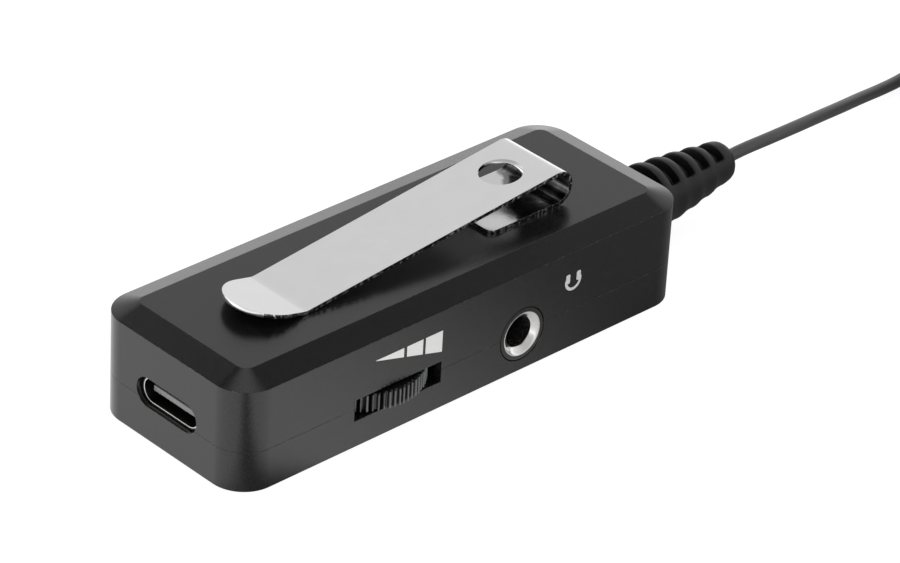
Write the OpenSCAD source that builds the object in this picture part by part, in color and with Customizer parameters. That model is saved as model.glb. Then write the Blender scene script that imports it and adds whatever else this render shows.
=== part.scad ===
// Lavalier microphone with its in-line audio box.
// The origin is the centre of the box's underside. The USB-C port faces -X, the microphone cable
// leaves towards +X, the controls are on the -Y side and the belt clip lies on top.

/* [Housing] */
// Length of the box
box_l = 63.6; // [62:0.2:70]
// Width of the box
box_w = 23; // [22.6:0.2:27]
// Height of the box
box_h = 13; // [12:0.2:16]
// Radius of the upright corners
corner_r = 4; // [3.4:0.1:4.6]
// Thickness of the shells' walls
wall = 1.2; // [1:0.05:1.3]
// Height of the parting line above the underside
split_z = 4.75; // [4.4:0.05:5]
// Width of the bevel round the top, seen from above
bevel_run = 2.9; // [1:0.1:3.2]
// Height of that bevel
bevel_drop = 1.05; // [0.6:0.05:1.2]

/* [Housing screws] */
// Radius of the screws' shanks
screw_r = 0.8; // [0.7:0.05:0.9]
// Radius of the countersunk heads
screw_head_r = 1.5; // [1.3:0.05:1.6]
// Radius of the bosses that take the screws
boss_r = 1.8; // [1.7:0.05:2]

/* [Circuit board] */
// Thickness of the board
board_t = 1; // [0.8:0.1:1.2]
// Height of the posts under the board
board_gap = 0.7; // [0.5:0.1:0.9]

/* [USB port] */
// Width of the metal shell of the port
usb_w = 8.94; // [8.6:0.02:9.2]
// Height of that shell
usb_h = 3.26; // [3:0.02:3.4]
// Thickness of that shell
usb_wall = 0.3; // [0.2:0.05:0.4]
// Length of that shell
usb_l = 7.4; // [7:0.1:8.5]
// How far the shell sits back from the end face
usb_set_back = 0.6; // [0.3:0.1:1]
// Height of the riser under the shell
usb_riser = 1.17; // [1:0.01:1.4]
// Width of the contact tongue
tongue_w = 6.69; // [6.4:0.01:6.8]
// Thickness of the contact tongue
tongue_t = 0.7; // [0.6:0.05:0.8]

/* [Volume thumbwheel] */
// Radius of the wheel over its teeth
wheel_r = 7.3; // [6.6:0.1:7.6]
// Thickness of the wheel
wheel_t = 1.95; // [1.6:0.05:2.1]
// Number of teeth round the edge
wheel_teeth = 75; // [50:1:90]
// Depth of the teeth
tooth_h = 0.35; // [0.2:0.05:0.5]
// How far the wheel stands out of the side
wheel_out = 0.6; // [0.4:0.1:1]
// Place of the wheel along the box
wheel_x = -10.3; // [-11:0.1:-9]
// Width of the slot that the wheel stands out of
slot_w = 12.1; // [11.4:0.1:13]
// Thickness of the potentiometer's base
pot_t = 0.45; // [0.4:0.05:0.5]
// Radius of the post that the wheel turns on
post_r = 1; // [0.8:0.05:1.2]
// Radial clearance between the post and the wheel
post_fit = 0.04; // [0.02:0.01:0.08]

/* [Headphone socket] */
// Place of the socket along the box
jack_x = 7.4; // [6:0.1:10]
// Radius of the socket's bore
jack_bore_r = 1.8; // [1.75:0.01:1.85]
// Depth of the bore
jack_depth = 14; // [13:0.5:14.5]
// Radius of the metal bushing
bushing_r = 2.62; // [2.4:0.02:2.8]
// Radius of the plastic nose round the bushing
nose_r = 3.1; // [3:0.05:3.3]
// Side of the square socket body
jack_w = 6.6; // [6.6:0.1:6.8]

/* [Belt clip] */
// Thickness of the steel strip
clip_t = 0.45; // [0.35:0.05:0.6]
// Width of the strip at the tab
clip_front_w = 8.6; // [8:0.1:9]
// Width of the strip at the bend
clip_rear_w = 9.1; // [9:0.1:9.6]
// Sideways place of the strip's centre line
clip_y = -0.3; // [-0.6:0.1:0.6]
// Outer radius of the bend
bend_r = 2.1; // [1.8:0.1:2.6]
// Place of the bend's centre along the box
bend_x = 18.3; // [17.5:0.1:19]
// Place of the crease that presses on the box
crease_x = -17.1; // [-18:0.1:-15]
// Length of the turned-up tab
tab_l = 6.6; // [5.5:0.1:7.5]
// Angle of the tab above the box
tab_angle = 13; // [8:1:18]
// Radius of the hole over the rivet
clip_hole_r = 2.35; // [2:0.05:2.6]
// Place of the hole and the rivet along the box
clip_hole_x = 13.9; // [13:0.1:14.5]
// Place of the lower leaf's front edge
foot_x = 8.5; // [7.5:0.1:9.5]
// Radius of the rivet's shank
rivet_r = 0.9; // [0.8:0.05:1]

/* [Strain relief] */
// Length outside the box
relief_l = 18.5; // [18:0.1:20]
// Radius at the box
relief_base_r = 4.43; // [4.2:0.01:4.5]
// Radius at the tip
relief_tip_r = 2.5; // [2.2:0.05:2.8]
// How far the sleeve leans up
relief_lean = 2.2; // [0:0.2:3]
// Number of cuts above and below
rib_cuts = 6; // [4:1:6]
// Distance from one cut to the next
rib_pitch = 2.66; // [2.4:0.02:2.7]
// Width of each cut
cut_w = 1.1; // [0.8:0.05:1.3]
// Depth of each cut
cut_depth = 1.25; // [0.8:0.05:1.3]
// Angle that each cut takes up round the sleeve
cut_angle = 104; // [80:2:120]
// Radius of the neck through the wall
neck_r = 2.5; // [2.2:0.05:2.7]

/* [Cable] */
// Diameter of the cable
cable_d = 1.5; // [1.3:0.05:1.6]
// Gap between the turns of the coil
coil_gap = 0.45; // [0.42:0.01:0.6]
// Number of turns in the coil
coil_turns = 24; // [22:1:25]
// Number of layers that the turns are piled in
coil_layers = 6; // [6:2:8]
// Radius of the coil's outer turn
coil_r = 13.2; // [12.9:0.1:14]
// Thickness of the tie's strap
tie_t = 0.4; // [0.3:0.05:0.6]
// Width of the strap
tie_w = 3; // [2:0.2:4]

/* [Microphone head] */
// Radius of the barrel
barrel_r = 3.6; // [3.4:0.05:3.8]
// Length of the barrel
barrel_l = 12; // [11.5:0.1:14]
// Thickness of the barrel's wall
barrel_wall = 0.55; // [0.4:0.05:0.6]
// Radius of the electret element
element_r = 3; // [2.7:0.05:3]
// Outer radius of the foam windscreen
foam_r = 5.5; // [5.2:0.1:5.5]
// Length of the rubber boot behind the barrel
boot_l = 7; // [5:0.5:8]
// Angle by which the head is rolled over on the table
mic_roll = 58; // [40:1:58]

/* [Tie clip] */
// Width of the clip
tie_clip_w = 6; // [5.8:0.1:6.2]
// Length of the jaws in front of the hinge
jaw_l = 14; // [12:0.5:16]
// Length of the handles behind the hinge
handle_l = 9; // [7:0.5:9]
// Thickness of the clip's plates
jaw_t = 0.8; // [0.6:0.1:0.9]
// Radius of the hinge pin
pin_r = 0.6; // [0.5:0.05:0.7]
// Radial clearance between the pin and the moving jaw
pin_fit = 0.06; // [0.03:0.01:0.08]
// Diameter of the spring's wire
wire_d = 0.35; // [0.3:0.01:0.4]

/* [Hidden] */
$fn = 48;

past = 1;            // how far a cutting tool runs past what it cuts
seat_gap = 0.3;      // usual clearance between neighbours that don't touch
half_l = box_l / 2;
half_w = box_w / 2;
in_x = half_l - wall;
in_y = half_w - wall;
inner_r = corner_r - wall;
ceiling_z = box_h - wall;

board_z = wall + board_gap;
board_top = board_z + board_t;
board_edge = 0.6;    // clearance between the board and the walls
head_h = screw_head_r - screw_r;
boss_x = in_x - boss_r - 1.4;
boss_port_gap = 0.83; // clearance between the bosses and the port's shell
boss_y = usb_w / 2 + boss_port_gap + boss_r;
screw_grip = 4.5;    // length of thread in the upper shell
screw_tip_z = board_top + screw_grip;
head_sink = 0.15;    // how far the screw heads sit inside the underside
screw_fit = 0.02;    // radial clearance round the screw heads

usb_z = board_top + usb_riser + usb_h / 2;
usb_x = -half_l + usb_set_back;
usb_in_w = usb_w - 2 * usb_wall;
usb_in_h = usb_h - 2 * usb_wall;
usb_side_gap = 0.23; // gap between the port's shell and its cut-out, at the sides
usb_top_gap = 0.095; // the same above and below
usb_back_x = usb_x + usb_l;
tongue_x = usb_x + 0.52;
plug_l = 2.4;        // length of the insulator's plug inside the shell
contact_t = 0.08;
contact_pitch = 0.5;

pot_l = 11;          // length of the potentiometer's base along the box
pot_front = 4.2;     // from the wheel's axis to the base's edge at the slot
pot_back = 5.5;      // from the axis to its inner edge
axial_gap = 0.1;     // clearance above and below the wheel
wheel_y = -(half_w + wheel_out - wheel_r);
wheel_z = board_top + pot_t + axial_gap;
wheel_top = wheel_z + wheel_t;
hub_r = post_r + 1.3;
recess_r = wheel_r - 2.1;
recess_h = 0.55;
wiper_t = 0.2;
track_t = 0.1;

jack_z = wall + jack_w / 2;
bushing_l = 3.5;
jack_end_y = -half_w + 0.5 + jack_depth;
jack_back_y = jack_end_y + 1.6;
finger_y = [-5, -1.5, 2];
finger_w = 0.8;
finger_t = 0.25;

// Length, width and height of the packages on the board, and where their middles are
package_inset = 2.1; // from the wall to the packages' long edges
capacitor_inset = 3.2;
audio_size = [6, 5, 0.9];
audio_at = [-17, in_y - package_inset - audio_size[1] / 2];
amplifier_size = [4, 4, 0.8];
amplifier_at = [-3, in_y - package_inset - amplifier_size[1] / 2];
crystal_size = [3.2, 2.5, 0.7];
crystal_at = [-10.5, in_y - package_inset - crystal_size[1] / 2];
capacitor_size = [0.8, 1.2, 0.5];
capacitor_at = [14.5, capacitor_inset - in_y];
resistor_h = 0.4;
component_pitch = 1.5;
row_pitch = 2.2;

bend_z = box_h + bend_r;
crease_z = box_h + 0.02;
bend_in_r = bend_r - clip_t;
leaf_dx = bend_x - crease_x;
leaf_dz = bend_z - crease_z;
leaf_slope = asin(bend_in_r / norm([leaf_dx, leaf_dz])) + atan2(leaf_dz, leaf_dx);
flex_gap = 0.1;      // parting between the two leaves at the back of the bend

flange_r = min(neck_r + 0.9, split_z - wall - 0.15);
flange_t = 1.6;
collar_t = 0.4;
collar_step = 0.12;  // how far the straight collar stands out round the leaning sleeve
cable_r = cable_d / 2;
cable_fit = 0.02;
scallop = 0.15;
last_cut = 3.05;     // from the tip back to the middle of the last cut
tail_l = 5;          // length of cable inside the box
pad_h = 0.25;
pad_r = 0.6;
pad_pitch = 1.8;
pad_set_back = 8.1;  // from the end wall to the solder pads
wire_r = 0.15;

// Route of the cable from the strain relief to the coil
RUN = [
    [50.3, 0, 5.46], [53, 0, 5.56], [57, 0, 5.5], [62, 0.4, 5.1], [67, 1.2, 4.4], [72, 2.2, 3.5],
    [77, 3.5, 2.4], [82, 4.6, 1.4], [86, 5.3, 0.9], [90, 5.75, 0.95], [93, 5.9, 1.25],
    [95.5, 5.9, 1.45]
];
// Route from the coil's end to the microphone's boot: along, across, and the share of the drop left.
// Its first and last steps run straight along x, so that its ends lie flat on the coil's and the boot's
LEAD_SHAPE = [
    [1.5, 0, 1], [2.9, 0, 1], [5, -0.4, 0.98], [7.6, -1.4, 0.92], [10, -3, 0.78],
    [12.1, -5, 0.52], [13.8, -6.8, 0.26], [15.3, -8, 0.09], [17, -8.5, 0], [18.5, -8.5, 0]
];
tube_sides = 8;

coil_sides = 6;
coil_steps = 24;     // rings in one turn of the coil
coil_pitch = cable_d + coil_gap;
coil_start = RUN[len(RUN) - 1];
coil_x = coil_start[0] + cable_d;
coil_y = coil_start[1] - coil_r;
coil_z = coil_start[2];
layer_turns = coil_turns / coil_layers;
coil_in_r = coil_r - coil_pitch * layer_turns;
coil_end_z = coil_z + (coil_layers - 1) * coil_pitch;
coil_top = coil_end_z + cable_r;
tie_x0 = coil_x + coil_in_r - cable_r + 0.25;
tie_x1 = coil_x + coil_r + 0.55;
tie_z0 = coil_z - cable_r - seat_gap;
tie_z1 = coil_top + seat_gap;

mic_z = foam_r + 0.1;
LEAD = [
    for (p = LEAD_SHAPE)
        [coil_x + p[0], coil_start[1] + p[1], mic_z + p[2] * (coil_end_z - mic_z)]
];
boot_end = LEAD[len(LEAD) - 1];
mic_x = boot_end[0] + boot_l;
mic_y = boot_end[1];
boot_neck_r = 1.2;
element_l = 2.7;
grille_t = 0.6;
grille_in = 1;       // how far the grille's skirt reaches into the barrel
element_gap = 0.4;   // clearance between that skirt and the element
foam_bore_r = barrel_r + seat_gap;
ring_r = barrel_r + 0.9;
ring_l = tie_clip_w - 1.2;
clip_c = -tie_clip_w / 2;
plate_z = ring_r - 0.4;
plate_top = plate_z + jaw_t;
pivot_z = plate_top + 2.1;
ear_t = 0.8;
lug_t = 0.7;
side_gap = 0.1;      // clearance between the ears and the moving jaw's lugs
lug_x = tie_clip_w / 2 - ear_t - side_gap;
lug_r = pin_r + 0.8;
spring_turns = 2.5;
spring_steps = 8;
spring_r = pin_r + 0.3 + wire_d / 2;
spring_pitch = wire_d + 0.43;
grip_z = plate_top + 0.5;
handle_low = pivot_z + spring_r + wire_d / 2 + seat_gap;
handle_rise = 2.6;   // height of the handle's end over the pin
handle_high = pivot_z + handle_rise;
grip_l = 4;          // length of the flat grip at the moving jaw's tip

// ---- shapes used by several pieces ----

// Flat rounded rectangle
module plan(l, w, r) {
    square([l - 2 * r, w], center = true);
    square([l, w - 2 * r], center = true);
    for (x = [-1, 1], y = [-1, 1])
        translate([x * (l / 2 - r), y * (w / 2 - r)]) circle(r);
}

// Flat slot shape with round ends, w wide and h high
module stadium(w, h) {
    square([w - h, h], center = true);
    for (x = [-1, 1]) translate([x * (w - h) / 2, 0]) circle(h / 2);
}

// Turns a shape drawn in Y and Z into a bar that runs from x0 to x1
module bar_x(x0, x1) {
    translate([x0, 0, 0]) rotate([90, 0, 90]) linear_extrude(x1 - x0) children();
}

// Turns a shape drawn in X and Z into a bar of width w, centred on y
module bar_y(y, w) {
    translate([0, y, 0]) rotate([90, 0, 0]) linear_extrude(w, center = true) children();
}

// Round rod along X from x0 to x1
module rod_x(x0, x1, r) {
    translate([x0, 0, 0]) rotate([0, 90, 0]) cylinder(h = x1 - x0, r = r);
}

// Round rod along Y from y0 to y1
module rod_y(y0, y1, r) {
    translate([0, y0, 0]) rotate([-90, 0, 0]) cylinder(h = y1 - y0, r = r);
}

// Round rod from point a to point b
module rod(a, b, r) {
    d = b - a;
    translate(a) rotate([0, acos(d[2] / norm(d)), atan2(d[1], d[0])]) cylinder(h = norm(d), r = r);
}

module block(low, high) {
    translate(low) cube(high - low);
}

module at_bosses() {
    for (x = [-1, 1], y = [-1, 1]) translate([x * boss_x, y * boss_y, 0]) children();
}

module at_wheel() {
    translate([wheel_x, wheel_y, 0]) children();
}

module at_jack() {
    translate([jack_x, 0, jack_z]) children();
}

module at_rivet() {
    translate([clip_hole_x, clip_y, 0]) children();
}

// ---- swept tubes ----

function unit(v) = v / norm(v);

function tangent(pts, i) =
    i == 0 ? unit(pts[1] - pts[0])
    : i == len(pts) - 1 ? unit(pts[i] - pts[i - 1])
    : unit(unit(pts[i + 1] - pts[i]) + unit(pts[i] - pts[i - 1]));

function ring(p, t, r, sides, up) =
    let (side = unit(cross(t, up)), top = cross(side, t))
    [for (k = [0:sides - 1]) p + r * (cos(360 * k / sides) * side + sin(360 * k / sides) * top)];

function side_faces(rings, sides) = [
    for (i = [0:rings - 2], k = [0:sides - 1])
        let (a = i * sides + k, b = i * sides + (k + 1) % sides)
        for (face = [[a, b, b + sides], [a, b + sides, a + sides]]) face
];

function end_faces(rings, sides) = [
    for (k = [1:sides - 2])
        let (last = (rings - 1) * sides)
        for (face = [[0, k + 1, k], [last, last + k, last + k + 1]]) face
];

// One unbroken tube of radius r along the points, with rings square to it
module tube(pts, r, sides, up = [0, 0, 1]) {
    polyhedron(
        points = [for (i = [0:len(pts) - 1]) each ring(pts[i], tangent(pts, i), r, sides, up)],
        faces = concat(side_faces(len(pts), sides), end_faces(len(pts), sides))
    );
}

// Least distance between points of a wound centre line that are at least half a turn apart
function least_gap(pts, apart, d) = min([
    for (i = [0:len(pts) - 1 - apart], j = [i + apart:len(pts) - 1]) norm(pts[i] - pts[j])
]) - d;

// ---- housing ----

// Openings that the two shells share in their side walls
module ports() {
    translate([0, 0, usb_z]) bar_x(-half_l - past, -in_x + past)
        stadium(usb_w + 2 * usb_side_gap, usb_h + 2 * usb_top_gap);
    block([wheel_x - slot_w / 2, -half_w - past, wheel_z - 0.25],
          [wheel_x + slot_w / 2, -in_y + past, wheel_top + 0.35]);
    at_jack() rod_y(-half_w - past, -in_y + past / 2, nose_r + 0.1);
    translate([0, 0, split_z]) rod_x(in_x - past, half_l + past, neck_r);
}

// The bevelled top of the box, standing on z = 0
module bevel_cap() {
    bar_y(0, box_w - 2 * corner_r) polygon([
        [-half_l, 0], [half_l, 0], [half_l - bevel_run, bevel_drop], [bevel_run - half_l, bevel_drop]
    ]);
    bar_x(corner_r - half_l, half_l - corner_r) polygon([
        [-half_w, 0], [half_w, 0], [half_w - bevel_run, bevel_drop], [bevel_run - half_w, bevel_drop]
    ]);
    for (x = [-1, 1], y = [-1, 1])
        translate([x * (half_l - corner_r), y * (half_w - corner_r), 0])
            cylinder(h = bevel_drop, r1 = corner_r, r2 = corner_r - bevel_run);
}

module upper_shell() {
    color("dimgray") difference() {
        union() {
            difference() {
                union() {
                    translate([0, 0, split_z])
                        linear_extrude(box_h - bevel_drop - split_z) plan(box_l, box_w, corner_r);
                    translate([0, 0, box_h - bevel_drop]) bevel_cap();
                }
                translate([0, 0, split_z - past])
                    linear_extrude(ceiling_z - split_z + past) plan(2 * in_x, 2 * in_y, inner_r);
            }
            at_bosses() translate([0, 0, board_top]) cylinder(h = ceiling_z - board_top, r = boss_r);
        }
        ports();
        at_bosses() translate([0, 0, board_top - past])
            cylinder(h = screw_tip_z - board_top + past, r = screw_r);
        at_rivet() translate([0, 0, ceiling_z - past]) cylinder(h = wall + 2 * past, r = rivet_r);
    }
}

module lower_shell() {
    color("dimgray") difference() {
        union() {
            difference() {
                linear_extrude(split_z) plan(box_l, box_w, corner_r);
                translate([0, 0, wall])
                    linear_extrude(split_z) plan(2 * in_x, 2 * in_y, inner_r);
            }
            at_bosses() translate([0, 0, wall]) cylinder(h = board_gap, r = boss_r);
        }
        ports();
        at_bosses() {
            translate([0, 0, -past]) cylinder(h = board_z + 2 * past, r = screw_r + 0.1);
            translate([0, 0, -past]) cylinder(h = past + head_sink, r = screw_head_r + screw_fit);
            translate([0, 0, head_sink])
                cylinder(h = head_h, r1 = screw_head_r + screw_fit, r2 = screw_r + screw_fit);
        }
    }
}

module housing_screws() {
    color("darkgray") at_bosses() difference() {
        union() {
            translate([0, 0, head_sink]) cylinder(h = head_h, r1 = screw_head_r, r2 = screw_r);
            translate([0, 0, head_sink]) cylinder(h = screw_tip_z - head_sink, r = screw_r);
        }
        // hexagon socket
        translate([0, 0, head_sink - past]) cylinder(h = past + 0.5, r = 0.55, $fn = 6);
    }
}

module circuit_board() {
    color("darkgreen") difference() {
        translate([0, 0, board_z]) linear_extrude(board_t)
            plan(2 * (in_x - board_edge), 2 * (in_y - board_edge), inner_r - board_edge);
        at_bosses() translate([0, 0, board_z - past]) cylinder(h = board_t + 2 * past, r = screw_r);
        block([jack_x - jack_w / 2 - 0.2, -half_w, board_z - past],
              [jack_x + jack_w / 2 + 0.2, jack_back_y + 0.2, board_top + past]);
        block([in_x - flange_t - seat_gap, -flange_r - seat_gap, board_z - past],
              [half_l, flange_r + seat_gap, board_top + past]);
    }
}

// ---- USB-C port ----

module usb_shell() {
    color("silver") translate([0, 0, usb_z]) bar_x(usb_x, usb_back_x) difference() {
        stadium(usb_w, usb_h);
        stadium(usb_in_w, usb_in_h);
    }
}

module usb_insulator() {
    color("gray") {
        block([tongue_x, -tongue_w / 2, usb_z - tongue_t / 2],
              [usb_back_x, tongue_w / 2, usb_z + tongue_t / 2]);
        translate([0, 0, usb_z]) bar_x(usb_back_x - plug_l, usb_back_x + 0.6)
            stadium(usb_in_w, usb_in_h);
        block([usb_back_x, -usb_in_w / 2, board_top],
              [usb_back_x + 1.2, usb_in_w / 2, usb_z + usb_h / 2]);
        block([seat_gap - in_x, usb_h / 2 - usb_w / 2, board_top],
              [usb_back_x + 0.6, usb_w / 2 - usb_h / 2, usb_z - usb_h / 2]);
    }
}

// Twelve contact strips above the tongue and twelve below
module usb_contacts() {
    color("goldenrod") for (i = [0:11], side = [-1, 1])
        translate([tongue_x + 0.4, (i - 5.5) * contact_pitch - 0.12,
                   usb_z + side * (tongue_t + contact_t) / 2 - contact_t / 2])
            cube([usb_back_x - plug_l - tongue_x - 0.4, 0.24, contact_t]);
}

// ---- volume control ----

module volume_base() {
    color("saddlebrown") at_wheel() difference() {
        union() {
            block([-pot_l / 2, -pot_front, board_top], [pot_l / 2, pot_back, board_top + pot_t]);
            translate([0, 0, board_top]) cylinder(h = wheel_top + axial_gap - board_top, r = post_r);
        }
        translate([0, 0, board_top + pot_t - track_t]) linear_extrude(past / 2) track_plan();
        translate([0, 0, board_top + pot_t]) cylinder(h = wheel_t + past, r = post_r / 2);
    }
}

// Flat ring of the resistive track
module track_plan() {
    difference() {
        circle(hub_r + 1.7);
        circle(hub_r + 0.3);
    }
}

module volume_track() {
    color("black") at_wheel() translate([0, 0, board_top + pot_t - track_t])
        linear_extrude(track_t) track_plan();
}

module volume_wheel() {
    color("dimgray") at_wheel() difference() {
        translate([0, 0, wheel_z]) linear_extrude(wheel_t) polygon([
            for (i = [0:wheel_teeth - 1], p = [[-0.3, 0], [-0.12, 1], [0.12, 1], [0.3, 0]])
                let (a = 360 * (i + p[0]) / wheel_teeth, r = wheel_r - tooth_h * (1 - p[1]))
                [r * cos(a), r * sin(a)]
        ]);
        translate([0, 0, wheel_z - past]) cylinder(h = wheel_t + 2 * past, r = post_r + post_fit);
        translate([0, 0, wheel_z - past]) difference() {
            cylinder(h = recess_h + past, r = recess_r);
            cylinder(h = recess_h + past, r = hub_r);
        }
    }
}

// Spring ring in the wheel's underside, with two contact points over the track
module volume_wiper() {
    wiper_z = wheel_z + recess_h - wiper_t;
    color("goldenrod") at_wheel() {
        translate([0, 0, wiper_z]) linear_extrude(wiper_t) difference() {
            circle(recess_r - 0.4);
            circle(hub_r + seat_gap);
        }
        for (a = [80, 100]) rotate([0, 0, a]) translate([hub_r + 1, 0, wheel_z - 0.03])
            cylinder(h = wiper_z - wheel_z + 0.03, r = 0.25);
    }
}

module volume_screw() {
    color("silver") at_wheel() translate([0, 0, wheel_top + axial_gap]) {
        difference() {
            cylinder(h = 0.6, r = post_r + 0.8);
            translate([0, 0, 0.3]) block([-2 * post_r, -0.15, 0], [2 * post_r, 0.15, past]);
        }
        translate([0, 0, 0.3 - wheel_t]) cylinder(h = wheel_t - 0.3, r = post_r / 2);
    }
}

// ---- headphone socket ----

module jack_body() {
    color("black") at_jack() difference() {
        union() {
            block([-jack_w / 2, -in_y, -jack_w / 2], [jack_w / 2, jack_back_y, jack_w / 2]);
            rod_y(-half_w, -in_y, nose_r);
        }
        rod_y(-half_w - past, jack_end_y, jack_bore_r);
        rod_y(-half_w - past, -half_w + bushing_l, bushing_r);
        for (y = finger_y) block([-finger_w / 2 - 0.1, y - 0.6, 0], [finger_w / 2 + 0.1, y + 0.6, jack_w]);
    }
}

module jack_bushing() {
    color("silver") at_jack() translate([0, -half_w, 0]) rotate([-90, 0, 0]) difference() {
        cylinder(h = bushing_l, r = bushing_r);
        translate([0, 0, -past]) cylinder(h = bushing_l + 2 * past, r = jack_bore_r);
        cylinder(h = 0.5, r1 = bushing_r - 0.05, r2 = jack_bore_r);
    }
}

// Three spring fingers that reach down to the bore and are soldered beside the socket
module jack_contacts() {
    strap_z = jack_w / 2;
    side_x = jack_w / 2;
    foot_z = board_top - jack_z;
    color("goldenrod") at_jack() for (y = finger_y) translate([0, y, 0]) {
        block([-finger_w / 2, -finger_t / 2, jack_bore_r + 0.05], [finger_w / 2, finger_t / 2, strap_z]);
        block([-finger_w / 2, -0.4, strap_z], [side_x + finger_t, 0.4, strap_z + finger_t]);
        block([side_x, -0.4, foot_z], [side_x + finger_t, 0.4, strap_z]);
        block([side_x, -0.4, foot_z], [side_x + 1.4, 0.4, foot_z + finger_t]);
    }
}

// ---- components on the board ----

// Flat package with n leads on each of two sides
module chip(place, size, n) {
    translate([place[0], place[1], board_top]) {
        block([-size[0] / 2, -size[1] / 2, 0.1], [size[0] / 2, size[1] / 2, size[2]]);
        for (i = [0:n - 1], s = [-1, 1])
            translate([(i - (n - 1) / 2) * size[0] / (n + 0.5), s * size[1] / 2, 0])
                block([-0.12, -0.4, 0], [0.12, 0.4, 0.2]);
    }
}

module audio_chip() {
    color("black") chip(audio_at, audio_size, 8);
}

module amplifier_chip() {
    color("black") chip(amplifier_at, amplifier_size, 5);
}

module crystal() {
    color("silver") translate([crystal_at[0], crystal_at[1], board_top])
        linear_extrude(crystal_size[2]) plan(crystal_size[0], crystal_size[1], 0.3);
}

// A row of capacitors and a row of resistors
module chip_components() {
    half = capacitor_size / 2;
    color("tan") for (i = [0:5], row = [0, 1])
        translate([capacitor_at[0] + component_pitch * i, capacitor_at[1] + row_pitch * row, board_top])
            block([-half[0], -half[1], 0], [half[0], half[1], row == 0 ? capacitor_size[2] : resistor_h]);
}

// ---- belt clip ----

// Limits the strip to its taper from the tab to the bend
module clip_taper() {
    translate([0, clip_y, box_h - past]) linear_extrude(2 * bend_r + 2 * past) polygon([
        [crease_x - past, -clip_front_w / 2], [bend_x, -clip_rear_w / 2],
        [bend_x + bend_r + past, -clip_rear_w / 2], [bend_x + bend_r + past, clip_rear_w / 2],
        [bend_x, clip_rear_w / 2], [crease_x - past, clip_front_w / 2]
    ]);
}

// Part of the bend's ring inside the given outline
module bend_part(outline) {
    translate([bend_x, bend_z]) intersection() {
        difference() {
            circle(bend_r);
            circle(bend_in_r);
        }
        polygon(outline);
    }
}

module belt_clip_foot() {
    far = 3 * bend_r;
    foot_l = bend_x + far - foot_x;
    color("silver") difference() {
        intersection() {
            bar_y(clip_y, clip_rear_w) {
                translate([foot_x, box_h]) square([bend_x - foot_x, clip_t]);
                bend_part([[0, -flex_gap / 2], [far, -flex_gap / 2], [far, -far], [0, -far]]);
            }
            translate([foot_x + foot_l / 2, clip_y, box_h - past])
                linear_extrude(2 * bend_r + past) plan(foot_l, clip_rear_w, 1);
        }
        at_rivet() translate([0, 0, box_h]) cylinder(h = clip_t, r1 = rivet_r, r2 = rivet_r + clip_t + 0.2);
    }
}

module belt_clip_leaf() {
    far = 3 * bend_r;
    n = [-sin(leaf_slope), cos(leaf_slope)];
    inside = [-sin(leaf_slope - 8), cos(leaf_slope - 8)];
    centre = [bend_x, bend_z];
    crease = [crease_x, crease_z];
    half = clip_front_w / 2;
    color("gainsboro") difference() {
        union() {
            intersection() {
                bar_y(clip_y, clip_rear_w) {
                    polygon([
                        crease, centre + bend_in_r * n, centre + (bend_r - clip_t / 2) * inside,
                        centre + bend_r * n, crease + clip_t * n
                    ]);
                    bend_part([
                        [0, 0], [bend_in_r / 2, flex_gap / 2], [far, flex_gap / 2], [far, far], far * n
                    ]);
                }
                clip_taper();
            }
            translate([crease_x, clip_y, crease_z]) rotate([0, tab_angle, 0])
                linear_extrude(clip_t) intersection() {
                    translate([-tab_l, -half]) square([tab_l, 2 * half]);
                    union() {
                        translate([half - tab_l, -half]) square([tab_l, 2 * half]);
                        translate([half - tab_l, 0]) circle(half);
                    }
                }
        }
        at_rivet() translate([0, 0, box_h + bend_r]) cylinder(h = 2 * bend_r, r = clip_hole_r);
    }
}

module belt_clip_rivet() {
    color("silver") at_rivet() {
        translate([0, 0, box_h]) cylinder(h = clip_t, r1 = rivet_r, r2 = rivet_r + clip_t + 0.2);
        translate([0, 0, ceiling_z]) cylinder(h = wall, r = rivet_r);
        translate([0, 0, ceiling_z - 0.6]) cylinder(h = 0.6, r = rivet_r + 0.7);
    }
}

// ---- strain relief and cable ----

// Frame of the leaning sleeve: z runs along it from the box's end face, -x points up
module on_relief() {
    translate([half_l, 0, split_z]) rotate([0, 90 - relief_lean, 0]) children();
}

function relief_radius(s) =
    let (u = s / (relief_l - 1.7))
    relief_base_r - (relief_base_r - relief_tip_r) * (0.47 * u + 0.53 * u * u);

function cut_place(i) = relief_l - last_cut - (rib_cuts - 1 - i) * rib_pitch;

// Flat sector outside the core radius
module rib_cut(core_r) {
    far = 3 * cut_depth + core_r;
    difference() {
        polygon([[0, 0], far * [cos(cut_angle / 2), -sin(cut_angle / 2)], [far, -far / 2], [far, far / 2],
                 far * [cos(cut_angle / 2), sin(cut_angle / 2)]]);
        circle(core_r);
    }
}

module strain_relief() {
    start = 0.2;
    tip = relief_l;
    ribs = [
        for (i = [0:rib_cuts - 1])
            let (s = cut_place(i), crest = s + rib_pitch / 2)
            each [[relief_radius(s) - scallop, s], [relief_radius(crest), crest]]
    ];
    dome = [[0.88, 0.65], [0.65, 0.25], [0.32, 0]];
    color([0.12, 0.12, 0.12]) difference() {
        union() {
            translate([0, 0, split_z]) {
                rod_x(in_x - flange_t, in_x, flange_r);
                rod_x(in_x - flange_t / 2, half_l + collar_t / 2, neck_r);
                rod_x(half_l, half_l + collar_t, relief_base_r + collar_step);
            }
            on_relief() rotate_extrude() polygon(concat(
                [[0, start], [relief_base_r, start]],
                ribs,
                [for (d = dome) [d[0] * relief_tip_r, tip - d[1]]],
                [[0, tip]]
            ));
        }
        on_relief() translate([0, 0, -in_x]) cylinder(h = in_x + tip + past, r = cable_r + cable_fit);
        on_relief() for (i = [0:rib_cuts - 1], side = [0, 180])
            translate([0, 0, cut_place(i) - cut_w / 2]) rotate([0, 0, side])
                linear_extrude(cut_w) rib_cut(relief_radius(cut_place(i)) - cut_depth);
    }
}

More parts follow.
